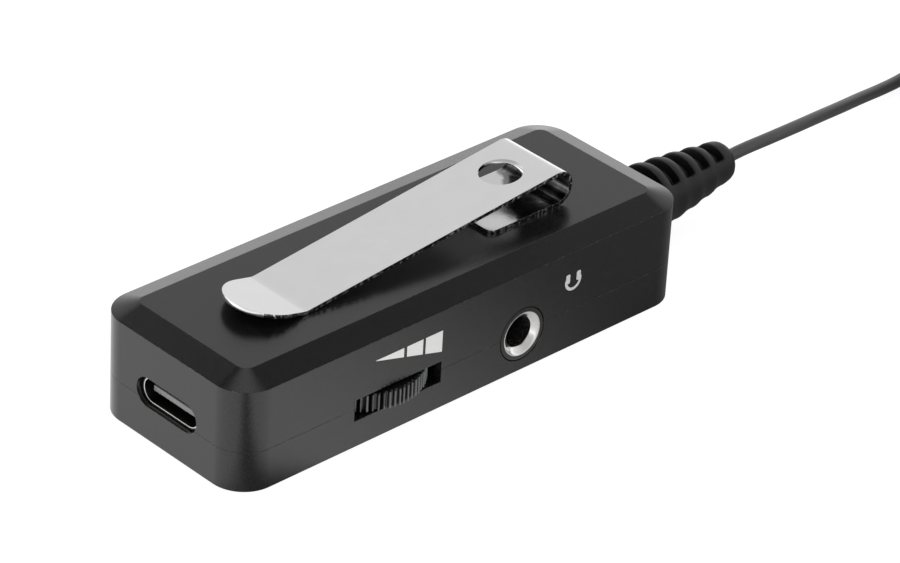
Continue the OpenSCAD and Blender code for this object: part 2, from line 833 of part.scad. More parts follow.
module cable_tail() {
    color([0.1, 0.1, 0.1]) on_relief() translate([0, 0, -tail_l])
        cylinder(h = tail_l + relief_l, r = cable_r);
}

function tail_end() = [
    half_l - tail_l * cos(relief_lean), 0, split_z - tail_l * sin(relief_lean)
];

function pad_place(i) = [in_x - pad_set_back, pad_pitch * i, board_top];

module board_wires() {
    color("firebrick") for (i = [-1:1])
        rod(tail_end() + [-0.1, 0.4 * i, 0], pad_place(i) + [0, 0, pad_h + wire_r], wire_r);
}

module solder_pads() {
    color("silver") for (i = [-1:1]) translate(pad_place(i)) cylinder(h = pad_h, r = pad_r);
}

module cable_run() {
    color([0.1, 0.1, 0.1]) tube(RUN, cable_r, tube_sides);
}

module mic_lead() {
    color([0.1, 0.1, 0.1]) tube(LEAD, cable_r, tube_sides);
}

// Turns wound inwards so far, at t turns from the start: in on one layer, out on the next
function turns_in(t) = let (p = t % (2 * layer_turns)) p < layer_turns ? p : 2 * layer_turns - p;

// Layers climbed so far: each climb takes the half turn where the spiral reverses
function layers_up(t) = coil_layers < 2 ? 0 : sum([
    for (k = [1:coil_layers - 1]) min(1, max(0, 2 * (t - k * layer_turns) + 0.5))
]);

function sum(v, i = 0) = i == len(v) ? 0 : v[i] + sum(v, i + 1);

function coil_point(t) =
    let (r = coil_r - coil_pitch * turns_in(t))
    [coil_x + r * sin(360 * t), coil_y + r * cos(360 * t), coil_z + coil_pitch * layers_up(t)];

COIL_TURNS = [for (i = [0:coil_turns * coil_steps]) coil_point(i / coil_steps)];
COIL = concat(
    [coil_start],
    COIL_TURNS,
    [LEAD[0]]
);

module cable_coil() {
    echo(least_coil_gap = least_gap(COIL, coil_steps / 2, cable_d));
    color([0.1, 0.1, 0.1]) tube(COIL, cable_r, coil_sides);
}

module cable_tie() {
    l = tie_x1 - tie_x0;
    h = tie_z1 - tie_z0;
    color("gray") bar_y(coil_y, tie_w) {
        translate([tie_x0 + l / 2, tie_z0 + h / 2]) difference() {
            plan(l + 2 * tie_t, h + 2 * tie_t, 1.2);
            plan(l, h, 0.8);
        }
        translate([tie_x1 + tie_t, tie_z0 + h / 2]) square([2 * tie_t, h / 2], center = true);
    }
}

// ---- microphone head ----

// Frame of the head, turned to point away from the box: the barrel lies along -x from its back
// face, the clip stands towards +z
module on_mic() {
    translate([mic_x, mic_y, mic_z]) rotate([mic_roll, 0, 180]) children();
}

module mic_boot() {
    color([0.12, 0.12, 0.12]) on_mic() {
        rotate([0, 90, 0]) cylinder(h = boot_l, r1 = 2, r2 = cable_r + 0.4);
        rod_x(-barrel_wall - 0.6, past / 10, boot_neck_r);
        rod_x(-barrel_wall - 1.2, -barrel_wall, boot_neck_r + 0.5);
    }
}

module mic_barrel() {
    color("dimgray") on_mic() difference() {
        rod_x(-barrel_l, 0, barrel_r);
        rod_x(-barrel_l - past, -barrel_wall, barrel_r - barrel_wall);
        rod_x(-barrel_wall - past, past, boot_neck_r);
    }
}

module mic_element() {
    front = element_gap + grille_in - barrel_l;
    color("silver") on_mic() rod_x(front, front + element_l, element_r);
}

module mic_wires() {
    back = element_gap + grille_in - barrel_l + element_l;
    color("firebrick") on_mic() for (y = [-0.6, 0.6])
        translate([0, y, 0]) rod_x(back, -barrel_wall - 1.2, wire_r);
}

module mic_grille() {
    color("black") on_mic() difference() {
        union() {
            rod_x(-barrel_l - grille_t, -barrel_l, barrel_r);
            rod_x(-barrel_l, grille_in - barrel_l, barrel_r - barrel_wall);
        }
        rod_x(-barrel_l - 0.01, grille_in - barrel_l + past, barrel_r - barrel_wall - 0.4);
        for (i = [0:5]) rotate([60 * i, 0, 0]) translate([0, 1.8, 0])
            rod_x(-barrel_l - grille_t - past, -barrel_l + past, 0.5);
        rod_x(-barrel_l - grille_t - past, -barrel_l + past, 0.5);
    }
}

module foam_windscreen() {
    bore_end = barrel_l + grille_t + seat_gap;
    nose = bore_end - 0.3;
    color([0.15, 0.15, 0.15]) on_mic() difference() {
        union() {
            rod_x(-nose, -tie_clip_w - seat_gap, foam_r);
            translate([-nose, 0, 0]) sphere(foam_r);
        }
        rod_x(-bore_end, past, foam_bore_r);
        rod_x(-tie_clip_w - seat_gap, past, foam_r + past);
    }
}

// ---- tie clip ----

module tie_clip_ring() {
    color("black") on_mic() translate([clip_c, 0, 0]) difference() {
        union() {
            rod_x(-ring_l / 2, ring_l / 2, ring_r);
            block([-tie_clip_w / 2, -handle_l, plate_z], [tie_clip_w / 2, jaw_l, plate_top]);
            for (s = [-1, 1]) translate([s * (tie_clip_w - ear_t) / 2, 0, 0]) {
                block([-ear_t / 2, -lug_r, plate_z], [ear_t / 2, lug_r, pivot_z]);
                translate([0, 0, pivot_z]) rod_x(-ear_t / 2, ear_t / 2, lug_r);
            }
            grip_teeth(plate_top, 0.25);
        }
        rod_x(-tie_clip_w, tie_clip_w, barrel_r);
        translate([0, 0, pivot_z]) rod_x(-tie_clip_w, tie_clip_w, pin_r);
    }
}

// Row of small ridges across the tip of a jaw
module grip_teeth(z, h) {
    for (i = [0:2]) block([-tie_clip_w / 2, jaw_l - 0.5 - 1.2 * i, min(z, z + h)],
                          [tie_clip_w / 2, jaw_l - 1.2 * i, max(z, z + h)]);
}

module tie_clip_jaw() {
    color("black") on_mic() translate([clip_c, 0, 0]) difference() {
        union() {
            // jaw and handle plates
            bar_x(-tie_clip_w / 2, tie_clip_w / 2) polygon([
                [lug_r + 0.4, pivot_z + jaw_t], [lug_r + 0.4, pivot_z],
                [jaw_l - grip_l, grip_z], [jaw_l, grip_z],
                [jaw_l, grip_z + jaw_t], [jaw_l - grip_l, grip_z + jaw_t]
            ]);
            bar_x(-tie_clip_w / 2, tie_clip_w / 2) polygon([
                [-lug_r - 0.4, handle_low + jaw_t], [-lug_r - 0.4, handle_low],
                [-handle_l, handle_high], [-handle_l, handle_high + jaw_t]
            ]);
            // two lugs round the pin that join the plates
            for (s = [-1, 1]) translate([s * (lug_x - lug_t / 2), 0, 0]) {
                bar_x(-lug_t / 2, lug_t / 2) polygon([
                    [-lug_r - 0.8, handle_low + 0.2], [0, pivot_z - lug_r / 2],
                    [lug_r + 0.6, pivot_z], [lug_r + 0.6, pivot_z + jaw_t],
                    [-lug_r - 0.8, handle_low + jaw_t]
                ]);
                translate([0, 0, pivot_z]) rod_x(-lug_t / 2, lug_t / 2, lug_r);
            }
            grip_teeth(grip_z, -0.2);
        }
        translate([0, 0, pivot_z]) rod_x(-tie_clip_w, tie_clip_w, pin_r + pin_fit);
    }
}

module tie_clip_pin() {
    color("silver") on_mic() translate([clip_c, 0, pivot_z])
        rod_x(-tie_clip_w / 2 - 0.1, tie_clip_w / 2 + 0.1, pin_r);
}

// Centre line of the torsion spring: a leg under the handle, the curls and a leg on the plate
SPRING = let (
    w = spring_pitch * spring_turns / 2,
    leg_y = 2 - handle_l,
    reach = (handle_l - 2 - lug_r - 0.4) / (handle_l - lug_r - 0.4),
    leg_top = handle_low + (handle_high - handle_low) * reach - wire_d / 2 - 0.1
) concat(
    [[-w, leg_y, leg_top], [-w, -0.4, pivot_z + spring_r]],
    [for (i = [0:spring_turns * spring_steps])
        let (a = 90 - 360 * i / spring_steps)
        [spring_pitch * i / spring_steps - w, spring_r * cos(a), pivot_z + spring_r * sin(a)]],
    [[w, -0.4, pivot_z - spring_r], [w, leg_y, plate_top + wire_d / 2 + 0.02]]
);

module tie_clip_spring() {
    echo(least_spring_gap = least_gap(SPRING, spring_steps - 1, wire_d));
    color("silver") on_mic() translate([clip_c, 0, 0]) tube(SPRING, wire_d / 2, 6, [1, 0, 0]);
}

lower_shell();
upper_shell();
housing_screws();
circuit_board();
usb_shell();
usb_insulator();
usb_contacts();
volume_base();
volume_track();
volume_wheel();
volume_wiper();
volume_screw();
jack_body();
jack_bushing();
jack_contacts();
audio_chip();
amplifier_chip();
crystal();
chip_components();
belt_clip_foot();
belt_clip_leaf();
belt_clip_rivet();
strain_relief();
cable_tail();
board_wires();
solder_pads();
cable_run();
cable_coil();
cable_tie();
mic_lead();
mic_boot();
mic_barrel();
mic_element();
mic_wires();
mic_grille();
foam_windscreen();
tie_clip_ring();
tie_clip_jaw();
tie_clip_pin();
tie_clip_spring();
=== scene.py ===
"""Looks of a lavalier microphone with its in-line audio box.

The box's underside is centred on the origin. The port faces -X, the cable leaves towards +X, the
controls are on the -Y side and the belt clip lies on top. Sizes are in metres.
"""

import math

import bmesh
import bpy
from bpy.props import (
    FloatProperty,
    FloatVectorProperty,
    IntProperty,
    PointerProperty,
)
from mathutils import Matrix, Vector


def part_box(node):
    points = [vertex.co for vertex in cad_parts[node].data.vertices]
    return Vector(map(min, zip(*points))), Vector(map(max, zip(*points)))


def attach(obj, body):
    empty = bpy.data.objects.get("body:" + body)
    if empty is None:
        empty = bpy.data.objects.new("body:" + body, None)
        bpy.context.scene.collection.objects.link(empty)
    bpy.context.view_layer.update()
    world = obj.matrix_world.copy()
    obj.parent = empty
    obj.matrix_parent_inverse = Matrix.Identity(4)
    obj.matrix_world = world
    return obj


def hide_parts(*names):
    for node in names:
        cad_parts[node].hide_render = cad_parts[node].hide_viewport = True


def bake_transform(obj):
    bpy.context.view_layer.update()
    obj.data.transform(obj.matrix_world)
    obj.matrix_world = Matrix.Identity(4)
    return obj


bl_info = {
    "name": "Lavalier microphone",
    "version": (1, 0, 0),
    "blender": (4, 5, 0),
    "location": "3D View > Sidebar > Microphone",
    "description": "Models a lavalier microphone with its in-line audio box",
    "category": "Object",
}

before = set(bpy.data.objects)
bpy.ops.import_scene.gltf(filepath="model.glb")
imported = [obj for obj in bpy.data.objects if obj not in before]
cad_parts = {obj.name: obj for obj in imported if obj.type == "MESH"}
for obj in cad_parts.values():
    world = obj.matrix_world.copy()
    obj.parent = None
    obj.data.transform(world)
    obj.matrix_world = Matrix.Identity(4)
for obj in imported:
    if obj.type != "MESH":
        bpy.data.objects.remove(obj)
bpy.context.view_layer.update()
MM = 0.001
PAST = 1 * MM  # how far a cutting piece runs past what it cuts
ALMOST = 0.9999  # share of a side that two roundings take up without meeting
NEAR = 0.001 * MM  # two places closer than this are the same
BARREL_BORE = 1.2 * MM  # radius of the hole in the microphone barrel's end
GRILLE = 0.6 * MM  # thickness of the grille
TO_BACK = Matrix.Rotation(-math.pi / 2, 4, "X")  # turns +Z to +Y
TO_RIGHT = Matrix.Rotation(math.pi / 2, 4, "Y")  # turns +Z to +X
materials = {}  # filled by the operator that mixes them


# ---------------------------------------------------------------------------------------------
# Settings
# ---------------------------------------------------------------------------------------------


def linear(hex_colour):
    """Turns an sRGB hex colour such as "1b1c1d" into linear red, green, blue and alpha."""
    parts = [int(hex_colour[i : i + 2], 16) / 255 for i in (0, 2, 4)]
    return (*(c / 12.92 if c <= 0.04045 else ((c + 0.055) / 1.055) ** 2.4 for c in parts), 1.0)


def size(name, description, mm):
    return FloatProperty(
        name=name, description=description, default=mm * MM, unit="LENGTH", precision=5
    )


def angle(name, description, degrees):
    return FloatProperty(
        name=name, description=description, default=math.radians(degrees), unit="ROTATION"
    )


def colour(name, description, hex_colour):
    return FloatVectorProperty(
        name=name,
        description=description,
        default=linear(hex_colour),
        size=4,
        min=0,
        max=1,
        subtype="COLOR",
    )


class BoxSizes(bpy.types.PropertyGroup):
    """The aluminium box."""

    length: size("Length", "Length along X", 63.6)
    width: size("Width", "Width along Y", 23)
    height: size("Height", "Height along Z", 13)
    corner: size("Corner radius", "Radius of the upright corners", 4)
    wall: size("Wall", "Thickness of the shells", 1.2)
    parting: size("Parting height", "Height of the line where the shells meet", 4.75)
    bevel_run: size("Bevel run", "Width of the bevel round the top, seen from above", 2.9)
    bevel_drop: size("Bevel drop", "Height of the bevel round the top", 1.05)
    edge: size("Edge radius", "Rounding that blasting leaves on every edge", 0.06)
    boss_x: size("Boss place X", "Distance of the screw bosses from the middle", 27.4)
    boss_y: size("Boss place Y", "Distance of the screw bosses from the centre line", 7.1)
    boss: size("Boss radius", "Radius of the screw bosses", 1.8)
    screw: size("Screw radius", "Radius of the screws' shanks", 0.8)
    screw_head: size("Screw head radius", "Radius of the countersunk heads", 1.5)
    screw_end: size("Screw end", "Height where the screws' holes end", 7.4)
    board: size("Board top", "Height of the circuit board's upper face", 2.9)
    gland: size("Gland radius", "Radius of the hole for the strain relief", 2.5)


class PortSizes(bpy.types.PropertyGroup):
    """The USB-C port."""

    width: size("Width", "Width of the metal shell", 8.94)
    height: size("Height", "Height of the metal shell", 3.26)
    wall: size("Wall", "Thickness of the metal shell", 0.3)
    length: size("Length", "Length of the metal shell", 7.4)
    set_back: size("Set back", "How far the shell sits inside the end face", 0.6)
    middle: size("Middle height", "Height of the port's axis over the underside", 5.7)
    side_gap: size("Side gap", "Gap beside the shell in its cut-out", 0.23)
    top_gap: size("Top gap", "Gap above and below the shell", 0.095)
    tongue_width: size("Tongue width", "Width of the contact tongue", 6.69)
    tongue: size("Tongue thickness", "Thickness of the contact tongue", 0.7)
    tongue_back: size("Tongue set back", "How far the tongue starts inside the shell", 0.52)
    foot: size("Foot set back", "How far the insulator's foot starts inside the end face", 1.5)


class WheelSizes(bpy.types.PropertyGroup):
    """The volume thumbwheel."""

    place: size("Place", "Place of the wheel's axis along the box", -10.3)
    radius: size("Radius", "Radius over the teeth", 7.6)
    low: size("Low face", "Height of the wheel's lower face", 3.4)
    thickness: size("Thickness", "Thickness of the wheel", 1.98)
    stand_out: size("Stand out", "How far the wheel stands out of the side", 0.9)
    tooth: size("Tooth depth", "Depth of the grooves between the teeth", 0.42)
    post: size("Bore radius", "Radius of the wheel's bore", 1.04)
    slot: size("Slot width", "Width of the slot in the side", 12.1)
    slot_low: size("Slot low edge", "Height of the slot's lower edge", 3.2)
    slot_high: size("Slot high edge", "Height of the slot's upper edge", 5.75)
    chamfer: size("Chamfer rise", "Height of the chamfer on the rims", 0.06)
    chamfer_run: size("Chamfer run", "Width of the chamfer on the rims", 0.04)
    hub: size("Hub radius", "Inner radius of the recess for the wiper", 2.3)
    recess: size("Recess radius", "Outer radius of the recess for the wiper", 5.2)
    recess_depth: size("Recess depth", "Depth of the recess in the lower face", 0.55)
    teeth: IntProperty(name="Teeth", description="Number of teeth", default=75)


class SocketSizes(bpy.types.PropertyGroup):
    """The headphone socket."""

    place: size("Place", "Place of the socket along the box", 7.4)
    middle: size("Middle height", "Height of the socket's axis", 4.5)
    bore: size("Bore radius", "Radius of the bore", 1.8)
    depth: size("Bore depth", "Depth of the bore behind the bushing's face", 14)
    bushing: size("Bushing radius", "Outer radius of the metal bushing", 2.62)
    bushing_length: size("Bushing length", "Length of the metal bushing", 3.5)
    countersink: size("Countersink", "Depth of the bushing's countersink", 0.5)
    nose: size("Nose radius", "Outer radius of the plastic ring", 3.1)
    hole: size("Hole radius", "Radius of the hole in the shells", 3.2)
    body: size("Body side", "Side of the square body", 6.6)
    body_end: size("Body end", "How far the body reaches past the bore's end", 1.6)
    window: size("Window width", "Width of the windows for the contact springs", 1)
    window_length: size("Window length", "Length of the windows along the bore", 1.2)


class ClipSizes(bpy.types.PropertyGroup):
    """The belt clip, one bent strip of steel."""

    thickness: size("Thickness", "Thickness of the strip", 0.45)
    front_width: size("Front width", "Width at the tab", 8.6)
    rear_width: size("Rear width", "Width at the bend", 9.1)
    side_place: size("Side place", "Place of the strip's centre line across the box", -0.3)
    bend: size("Bend radius", "Outer radius of the bend", 2.1)
    bend_place: size("Bend place", "Place of the bend's centre along the box", 18.3)
    crease_place: size("Crease place", "Place where the upper leaf touches the box", -17.1)
    crease_gap: size("Crease gap", "Height of that place over the box", 0.02)
    crease: size("Crease radius", "Radius of the soft bend there", 2.6)
    tab: size("Tab length", "Length of the turned-up tab", 6.6)
    tab_angle: angle("Tab angle", "Angle of the tab above the box", 13)
    hole: size("Hole radius", "Radius of the hole in the upper leaf", 2.35)
    hole_place: size("Hole place", "Place of the hole and the rivet along the box", 13.9)
    foot_place: size("Foot place", "Place of the lower leaf's front edge", 8.5)
    foot_corner: size("Foot corner radius", "Radius of the lower leaf's corners", 1)
    rivet: size("Rivet radius", "Radius of the rivet's shank", 0.9)
    edge: size("Edge radius", "Rounding of the strip's edges", 0.13)


class ReliefSizes(bpy.types.PropertyGroup):
    """The cable's rubber strain relief."""

    length: size("Length", "Length outside the box", 18.5)
    base: size("Base radius", "Radius at the box", 4.43)
    tip: size("Tip radius", "Radius at the tip", 2.5)
    lean: angle("Lean", "Angle by which the sleeve leans up", 2.2)
    cuts: IntProperty(name="Cuts", description="Number of cuts above and below", default=6)
    pitch: size("Cut pitch", "Distance from one cut to the next", 2.66)
    last_cut: size("Last cut", "Distance from the tip to the last cut's middle", 3.05)
    cut_width: size("Cut width", "Width of each cut", 1.3)
    cut_depth: size("Cut depth", "Depth of each cut", 1.35)
    cut_angle: angle("Cut angle", "Angle that each cut takes up round the sleeve", 104)
    scallop: size("Scallop", "How far the sleeve dips between two ribs", 0.15)
    flange: size("Flange radius", "Radius of the flange inside the box", 3.3)
    neck: size("Neck radius", "Radius in the box's wall", 2.48)


class CableSizes(bpy.types.PropertyGroup):
    """The microphone cable."""

    diameter: size("Diameter", "Diameter of the cable", 1.5)
    gap: size("Turn gap", "Gap between two turns of the coil", 0.45)
    coil: size("Coil radius", "Radius of the coil's outer turn", 13.2)
    turns: FloatProperty(name="Turns", description="Number of turns in the coil", default=24)
    layers: IntProperty(name="Layers", description="Number of layers of turns", default=6)
    strap: size("Strap thickness", "Thickness of the tie", 0.4)
    strap_width: size("Strap width", "Width of the tie", 3)


class HeadSizes(bpy.types.PropertyGroup):
    """The microphone head."""

    barrel: size("Barrel radius", "Radius of the barrel", 3.6)
    length: size("Barrel length", "Length of the barrel", 12)
    wall: size("Barrel wall", "Thickness of the barrel's wall", 0.55)
    boot: size("Boot length", "Length of the rubber boot", 7)
    foam: size("Foam radius", "Radius of the foam windscreen", 5.5)
    roll: angle("Roll", "Angle by which the head is rolled over on the table", 58)
    clip_width: size("Clip width", "Width of the tie clip", 6)
    pivot: size("Pivot height", "Height of the tie clip's pin over the barrel's axis", 7)


class PrintSizes(bpy.types.PropertyGroup):
    """The printed symbols."""

    ink: size("Ink", "Thickness of the ink", 0.012)
    top: size("Wedge top", "Height of the volume wedge's upper edge", 9.55)
    low_left: size("Wedge left", "Height of its lower edge at the left end", 9.5)
    low_right: size("Wedge right", "Height of its lower edge at the right end", 6.96)
    place: size("Headphones place", "Place of the headphones along the box", 14.6)
    middle: size("Headphones height", "Height of the middle of their band", 8.4)
    radius: size("Band radius", "Outer radius of the band", 1.2)
    band: size("Band width", "Width of the band", 0.34)
    pad: size("Pad width", "Width of an ear pad", 0.6)


class StageSettings(bpy.types.PropertyGroup):
    """Camera and light."""

    heading: angle("Heading", "Compass direction that the camera looks in, from +Y to +X", 44.723)
    elevation: angle("Elevation", "How far the camera looks down", 31.43)
    roll: angle("Roll", "Roll of the camera", 3.285)
    place: FloatVectorProperty(
        name="Place",
        description="Place of the camera",
        default=(-272.993 * MM, -283.385 * MM, 249.092 * MM),
        subtype="TRANSLATION",
    )
    lens: FloatProperty(name="Lens", description="Focal length in millimetres", default=174.81)
    floor: size("Floor side", "Side of the square floor", 6000)
    # no card is modelled: this places a painted shadow strip in the floor's light
    card_shadow: size("Card place", "Place of the black card across the camera's heading", -12)


class Finishes(bpy.types.PropertyGroup):
    """Main colours."""

    anodised: colour("Anodised aluminium", "Colour of the box", "141415")
    steel: colour("Polished steel", "Colour of the belt clip", "dedede")
    rubber: colour("Rubber", "Colour of the strain relief", "0c0c0d")
    jacket: colour("Cable jacket", "Colour of the cable", "5c5c5e")
    print_ink: colour("Print", "Colour of the printed symbols", "fafaf8")
    wheel: colour("Thumbwheel", "Colour of the volume thumbwheel", "161617")
    floor: colour("Floor", "Colour of the floor", "8a8a8a")


class MicrophoneSettings(bpy.types.PropertyGroup):
    """All settings of the microphone."""

    box: PointerProperty(type=BoxSizes)
    port: PointerProperty(type=PortSizes)
    wheel: PointerProperty(type=WheelSizes)
    socket: PointerProperty(type=SocketSizes)
    clip: PointerProperty(type=ClipSizes)
    relief: PointerProperty(type=ReliefSizes)
    cable: PointerProperty(type=CableSizes)
    head: PointerProperty(type=HeadSizes)
    prints: PointerProperty(type=PrintSizes)
    stage: PointerProperty(type=StageSettings)
    finish: PointerProperty(type=Finishes)


# ---------------------------------------------------------------------------------------------
# Modelling by hand, in code
# ---------------------------------------------------------------------------------------------


def deselect():
    if bpy.context.object and bpy.context.object.mode != "OBJECT":
        bpy.ops.object.mode_set(mode="OBJECT")
    bpy.ops.object.select_all(action="DESELECT")


def activate(piece):
    deselect()
    piece.select_set(True)
    bpy.context.view_layer.objects.active = piece


def start(name, primitive, **options):
    """Adds a primitive with its place and size in its mesh and opens it, all selected."""
    deselect()
    primitive(**options)
    piece = bpy.context.object
    piece.name = name
    piece.data.name = name
    bpy.ops.object.transform_apply(location=True, rotation=True, scale=True)
    bpy.ops.object.mode_set(mode="EDIT")
    bpy.ops.mesh.select_all(action="SELECT")
    return piece


def edit(piece):
    activate(piece)
    bpy.ops.object.mode_set(mode="EDIT")


def middle(item):
    if isinstance(item, bmesh.types.BMVert):
        return item.co
    if isinstance(item, bmesh.types.BMFace):
        return item.calc_center_median()
    return (item.verts[0].co + item.verts[1].co) / 2


def pick(kind, test):
    """Selects the vertices, edges or faces being edited that pass the test of middle and item."""
    bpy.ops.mesh.select_mode(type=kind)
    bpy.ops.mesh.select_all(action="DESELECT")
    data = bpy.context.object.data
    mesh = bmesh.from_edit_mesh(data)
    items = {"VERT": mesh.verts, "EDGE": mesh.edges, "FACE": mesh.faces}[kind]
    for item in items:
        if test(middle(item), item):
            item.select_set(True)
    mesh.select_flush_mode()
    bmesh.update_edit_mesh(data)


def faces_up(height):
    """A test for the faces that look up at that height."""
    return lambda at, face: face.normal.z > 0.99 and abs(at.z - height) < NEAR


def upright(at, edge):
    a, b = edge.verts
    return (a.co.xy - b.co.xy).length < NEAR


def move(x, y, z):
    bpy.ops.transform.translate(value=(x, y, z))


def stretch(x, y, z, about):
    bpy.ops.transform.resize(value=(x, y, z), center_override=about)


def extrude(x=0.0, y=0.0, z=0.0):
    bpy.ops.mesh.extrude_region_move(TRANSFORM_OT_translate={"value": (x, y, z)})


def round_off(radius, steps, affect="EDGES"):
    bpy.ops.mesh.bevel(offset=radius, segments=steps, affect=affect)


def sweep(turn, centre, steps):
    """Sweeps the selected edge round an axis along +Y; spin itself counts clockwise angles."""
    bpy.ops.mesh.spin(steps=steps, angle=-turn, center=centre, axis=(0, 1, 0))


def close_mesh():
    """Merges doubles, points the faces outwards and leaves edit mode."""
    bpy.ops.mesh.select_all(action="SELECT")
    bpy.ops.mesh.remove_doubles(threshold=0.0005 * MM)
    bpy.ops.mesh.normals_make_consistent(inside=False)
    bpy.ops.object.mode_set(mode="OBJECT")


def modify(piece, kind, **settings):
    """Adds a modifier, sets it and applies it."""
    activate(piece)
    modifier = piece.modifiers.new(kind.title(), kind)
    for key, value in settings.items():
        setattr(modifier, key, value)
    bpy.ops.object.modifier_apply(modifier=modifier.name)


def combine(piece, tool, operation="DIFFERENCE"):
    """Cuts the tool out of the piece, or joins it on, and removes the tool."""
    modify(piece, "BOOLEAN", object=tool, operation=operation, solver="EXACT")
    bpy.data.objects.remove(tool)


def soften(piece, width, segments=2, limit=22, material=-1):
    """Rounds the edges sharper than limit degrees, and may give them their own material."""
    modify(
        piece,
        "BEVEL",
        width=width,
        segments=segments,
        limit_method="ANGLE",
        angle_limit=math.radians(limit),
        harden_normals=False,
        miter_outer="MITER_ARC",
        material=material,
    )


def place(piece, matrix):
    """Moves the finished mesh to its place and leaves the object at the origin."""
    activate(piece)
    piece.matrix_world = matrix
    bpy.ops.object.transform_apply(location=True, rotation=True, scale=True)


def spot(x=0.0, y=0.0, z=0.0):
    return Matrix.Translation((x, y, z))


def drill(piece, tool, matrix):
    """Cuts a tool out of the piece at its place."""
    place(tool, matrix)
    combine(piece, tool)


def paint(piece, index, test):
    """Gives the faces that pass the test another of the piece's materials."""
    edit(piece)
    pick("FACE", test)
    piece.active_material_index = index
    bpy.ops.object.material_slot_assign()
    bpy.ops.object.mode_set(mode="OBJECT")


def coat(piece, *finishes):
    """Gives a piece its materials, by their names in the materials."""
    for finish in finishes:
        piece.data.materials.append(materials[finish])


def complete(piece, *finishes, body="housing", smooth=30, weighted=False, replaces=(), slot=None):
    """Shades a piece, gives it its materials and hangs it on its body."""
    activate(piece)
    bpy.ops.object.shade_smooth_by_angle(angle=math.radians(smooth))
    if weighted:
        modify(piece, "WEIGHTED_NORMAL", keep_sharp=True, weight=80)
    coat(piece, *finishes)
    if body:
        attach(piece, body)
    if replaces:
        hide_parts(*replaces)


def join(pieces, name):
    activate(pieces[0])
    for piece in pieces:
        piece.select_set(True)
    bpy.ops.object.join()
    pieces[0].name = name
    pieces[0].data.name = name
    return pieces[0]


def cuboid(name, low, high):
    """A cuboid between two corners, open for editing."""
    return start(
        name,
        bpy.ops.mesh.primitive_cube_add,
        size=1,
        location=[(a + b) / 2 for a, b in zip(low, high)],
        scale=[b - a for a, b in zip(low, high)],
    )


def block(name, low, high):
    piece = cuboid(name, low, high)
    bpy.ops.object.mode_set(mode="OBJECT")
    return piece


def rounded_block(name, length, width, low, high, radius):
    """A cuboid round the Z axis with rounded upright corners, open for editing."""
    x, y = length / 2, width / 2
    piece = cuboid(name, (-x, -y, low), (x, y, high))
    pick("EDGE", upright)
    round_off(radius, 14)
    return piece


def rod(name, radius, low, high, sides=48):
    """A round bar along Z."""
    piece = start(
        name,
        bpy.ops.mesh.primitive_cylinder_add,
        radius=radius,
        depth=high - low,
        vertices=sides,
        location=(0, 0, (low + high) / 2),
    )
    bpy.ops.object.mode_set(mode="OBJECT")
    return piece


def turned(name, profile, sides=64, closed=False):
    """A ring drawn out and scaled along the points (radius, height) of a profile, as on a lathe.

    A closed profile goes back to its start. Otherwise both ends are filled.
    """
    radius, height = profile[0]
    piece = start(
        name,
        bpy.ops.mesh.primitive_circle_add,
        vertices=sides,
        radius=radius,
        location=(0, 0, height),
        fill_type="NOTHING" if closed else "NGON",
    )
    rings = profile[1:]
    if closed:
        rings = rings + profile[:1]
    else:
        bpy.ops.mesh.select_mode(type="EDGE")
    for next_radius, next_height in rings:
        extrude(z=next_height - height)
        factor = next_radius / radius
        stretch(factor, factor, 1, (0, 0, next_height))
        radius, height = next_radius, next_height
    close_mesh()
    return piece


def stadium(name, width, height, start_x, end_x, segments=12):
    """A bar along X whose section is a slot with round ends."""
    y, z = width / 2, height / 2
    piece = cuboid(name, (start_x, -y, -z), (end_x, y, z))
    pick("EDGE", lambda at, edge: abs(at.x - (start_x + end_x) / 2) < NEAR)
    round_off(height / 2 * ALMOST, segments)
    close_mesh()
    return piece


def copied(node, name):
    """A merged copy of a CAD node's mesh, with its flat faces whole."""
    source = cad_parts[node]
    piece = bpy.data.objects.new(name, source.data.copy())
    piece.data.name = name
    piece.data.materials.clear()
    bpy.context.scene.collection.objects.link(piece)
    edit(piece)
    bpy.ops.mesh.select_all(action="SELECT")
    bpy.ops.mesh.remove_doubles(threshold=0.001 * MM)
    bpy.ops.mesh.dissolve_limited(angle_limit=math.radians(1))
    bpy.ops.object.mode_set(mode="OBJECT")
    return piece


# ---------------------------------------------------------------------------------------------
# Materials
# ---------------------------------------------------------------------------------------------


def add(tree, kind, links=None, **settings):
    """Adds a node, sets its properties and sockets by name and links its sockets to outputs."""
    node = tree.nodes.new(kind)
    for key, value in settings.items():
        if hasattr(node, key):
            setattr(node, key, value)
        else:
            node.inputs[key.replace("_", " ")].default_value = value
    for socket, output in (links or {}).items():
        tree.links.new(output, node.inputs[socket])
    return node


def new_material(name, **shader):
    """A material with the shader's own sockets set, and its tree and object coordinates."""
    material = bpy.data.materials.new(name)
    material.use_nodes = True
    tree = material.node_tree
    tree.nodes.clear()
    principled = add(tree, "ShaderNodeBsdfPrincipled", **shader)
    add(tree, "ShaderNodeOutputMaterial", {"Surface": principled.outputs["BSDF"]})
    place_of = add(tree, "ShaderNodeTexCoord").outputs["Object"]
    return material, tree, principled, place_of


def grain(tree, place_of, mm, detail=2.0, stretch_by=None):
    """Noise whose spots are about that many millimetres across, stretched along an axis."""
    vector = place_of
    if stretch_by:
        mapping = add(tree, "ShaderNodeMapping", {"Vector": place_of})
        mapping.inputs["Scale"].default_value = stretch_by
        vector = mapping.outputs["Vector"]
    noise = add(tree, "ShaderNodeTexNoise", {"Vector": vector}, Scale=1 / (mm * MM), Detail=detail)
    return noise.outputs["Fac"]


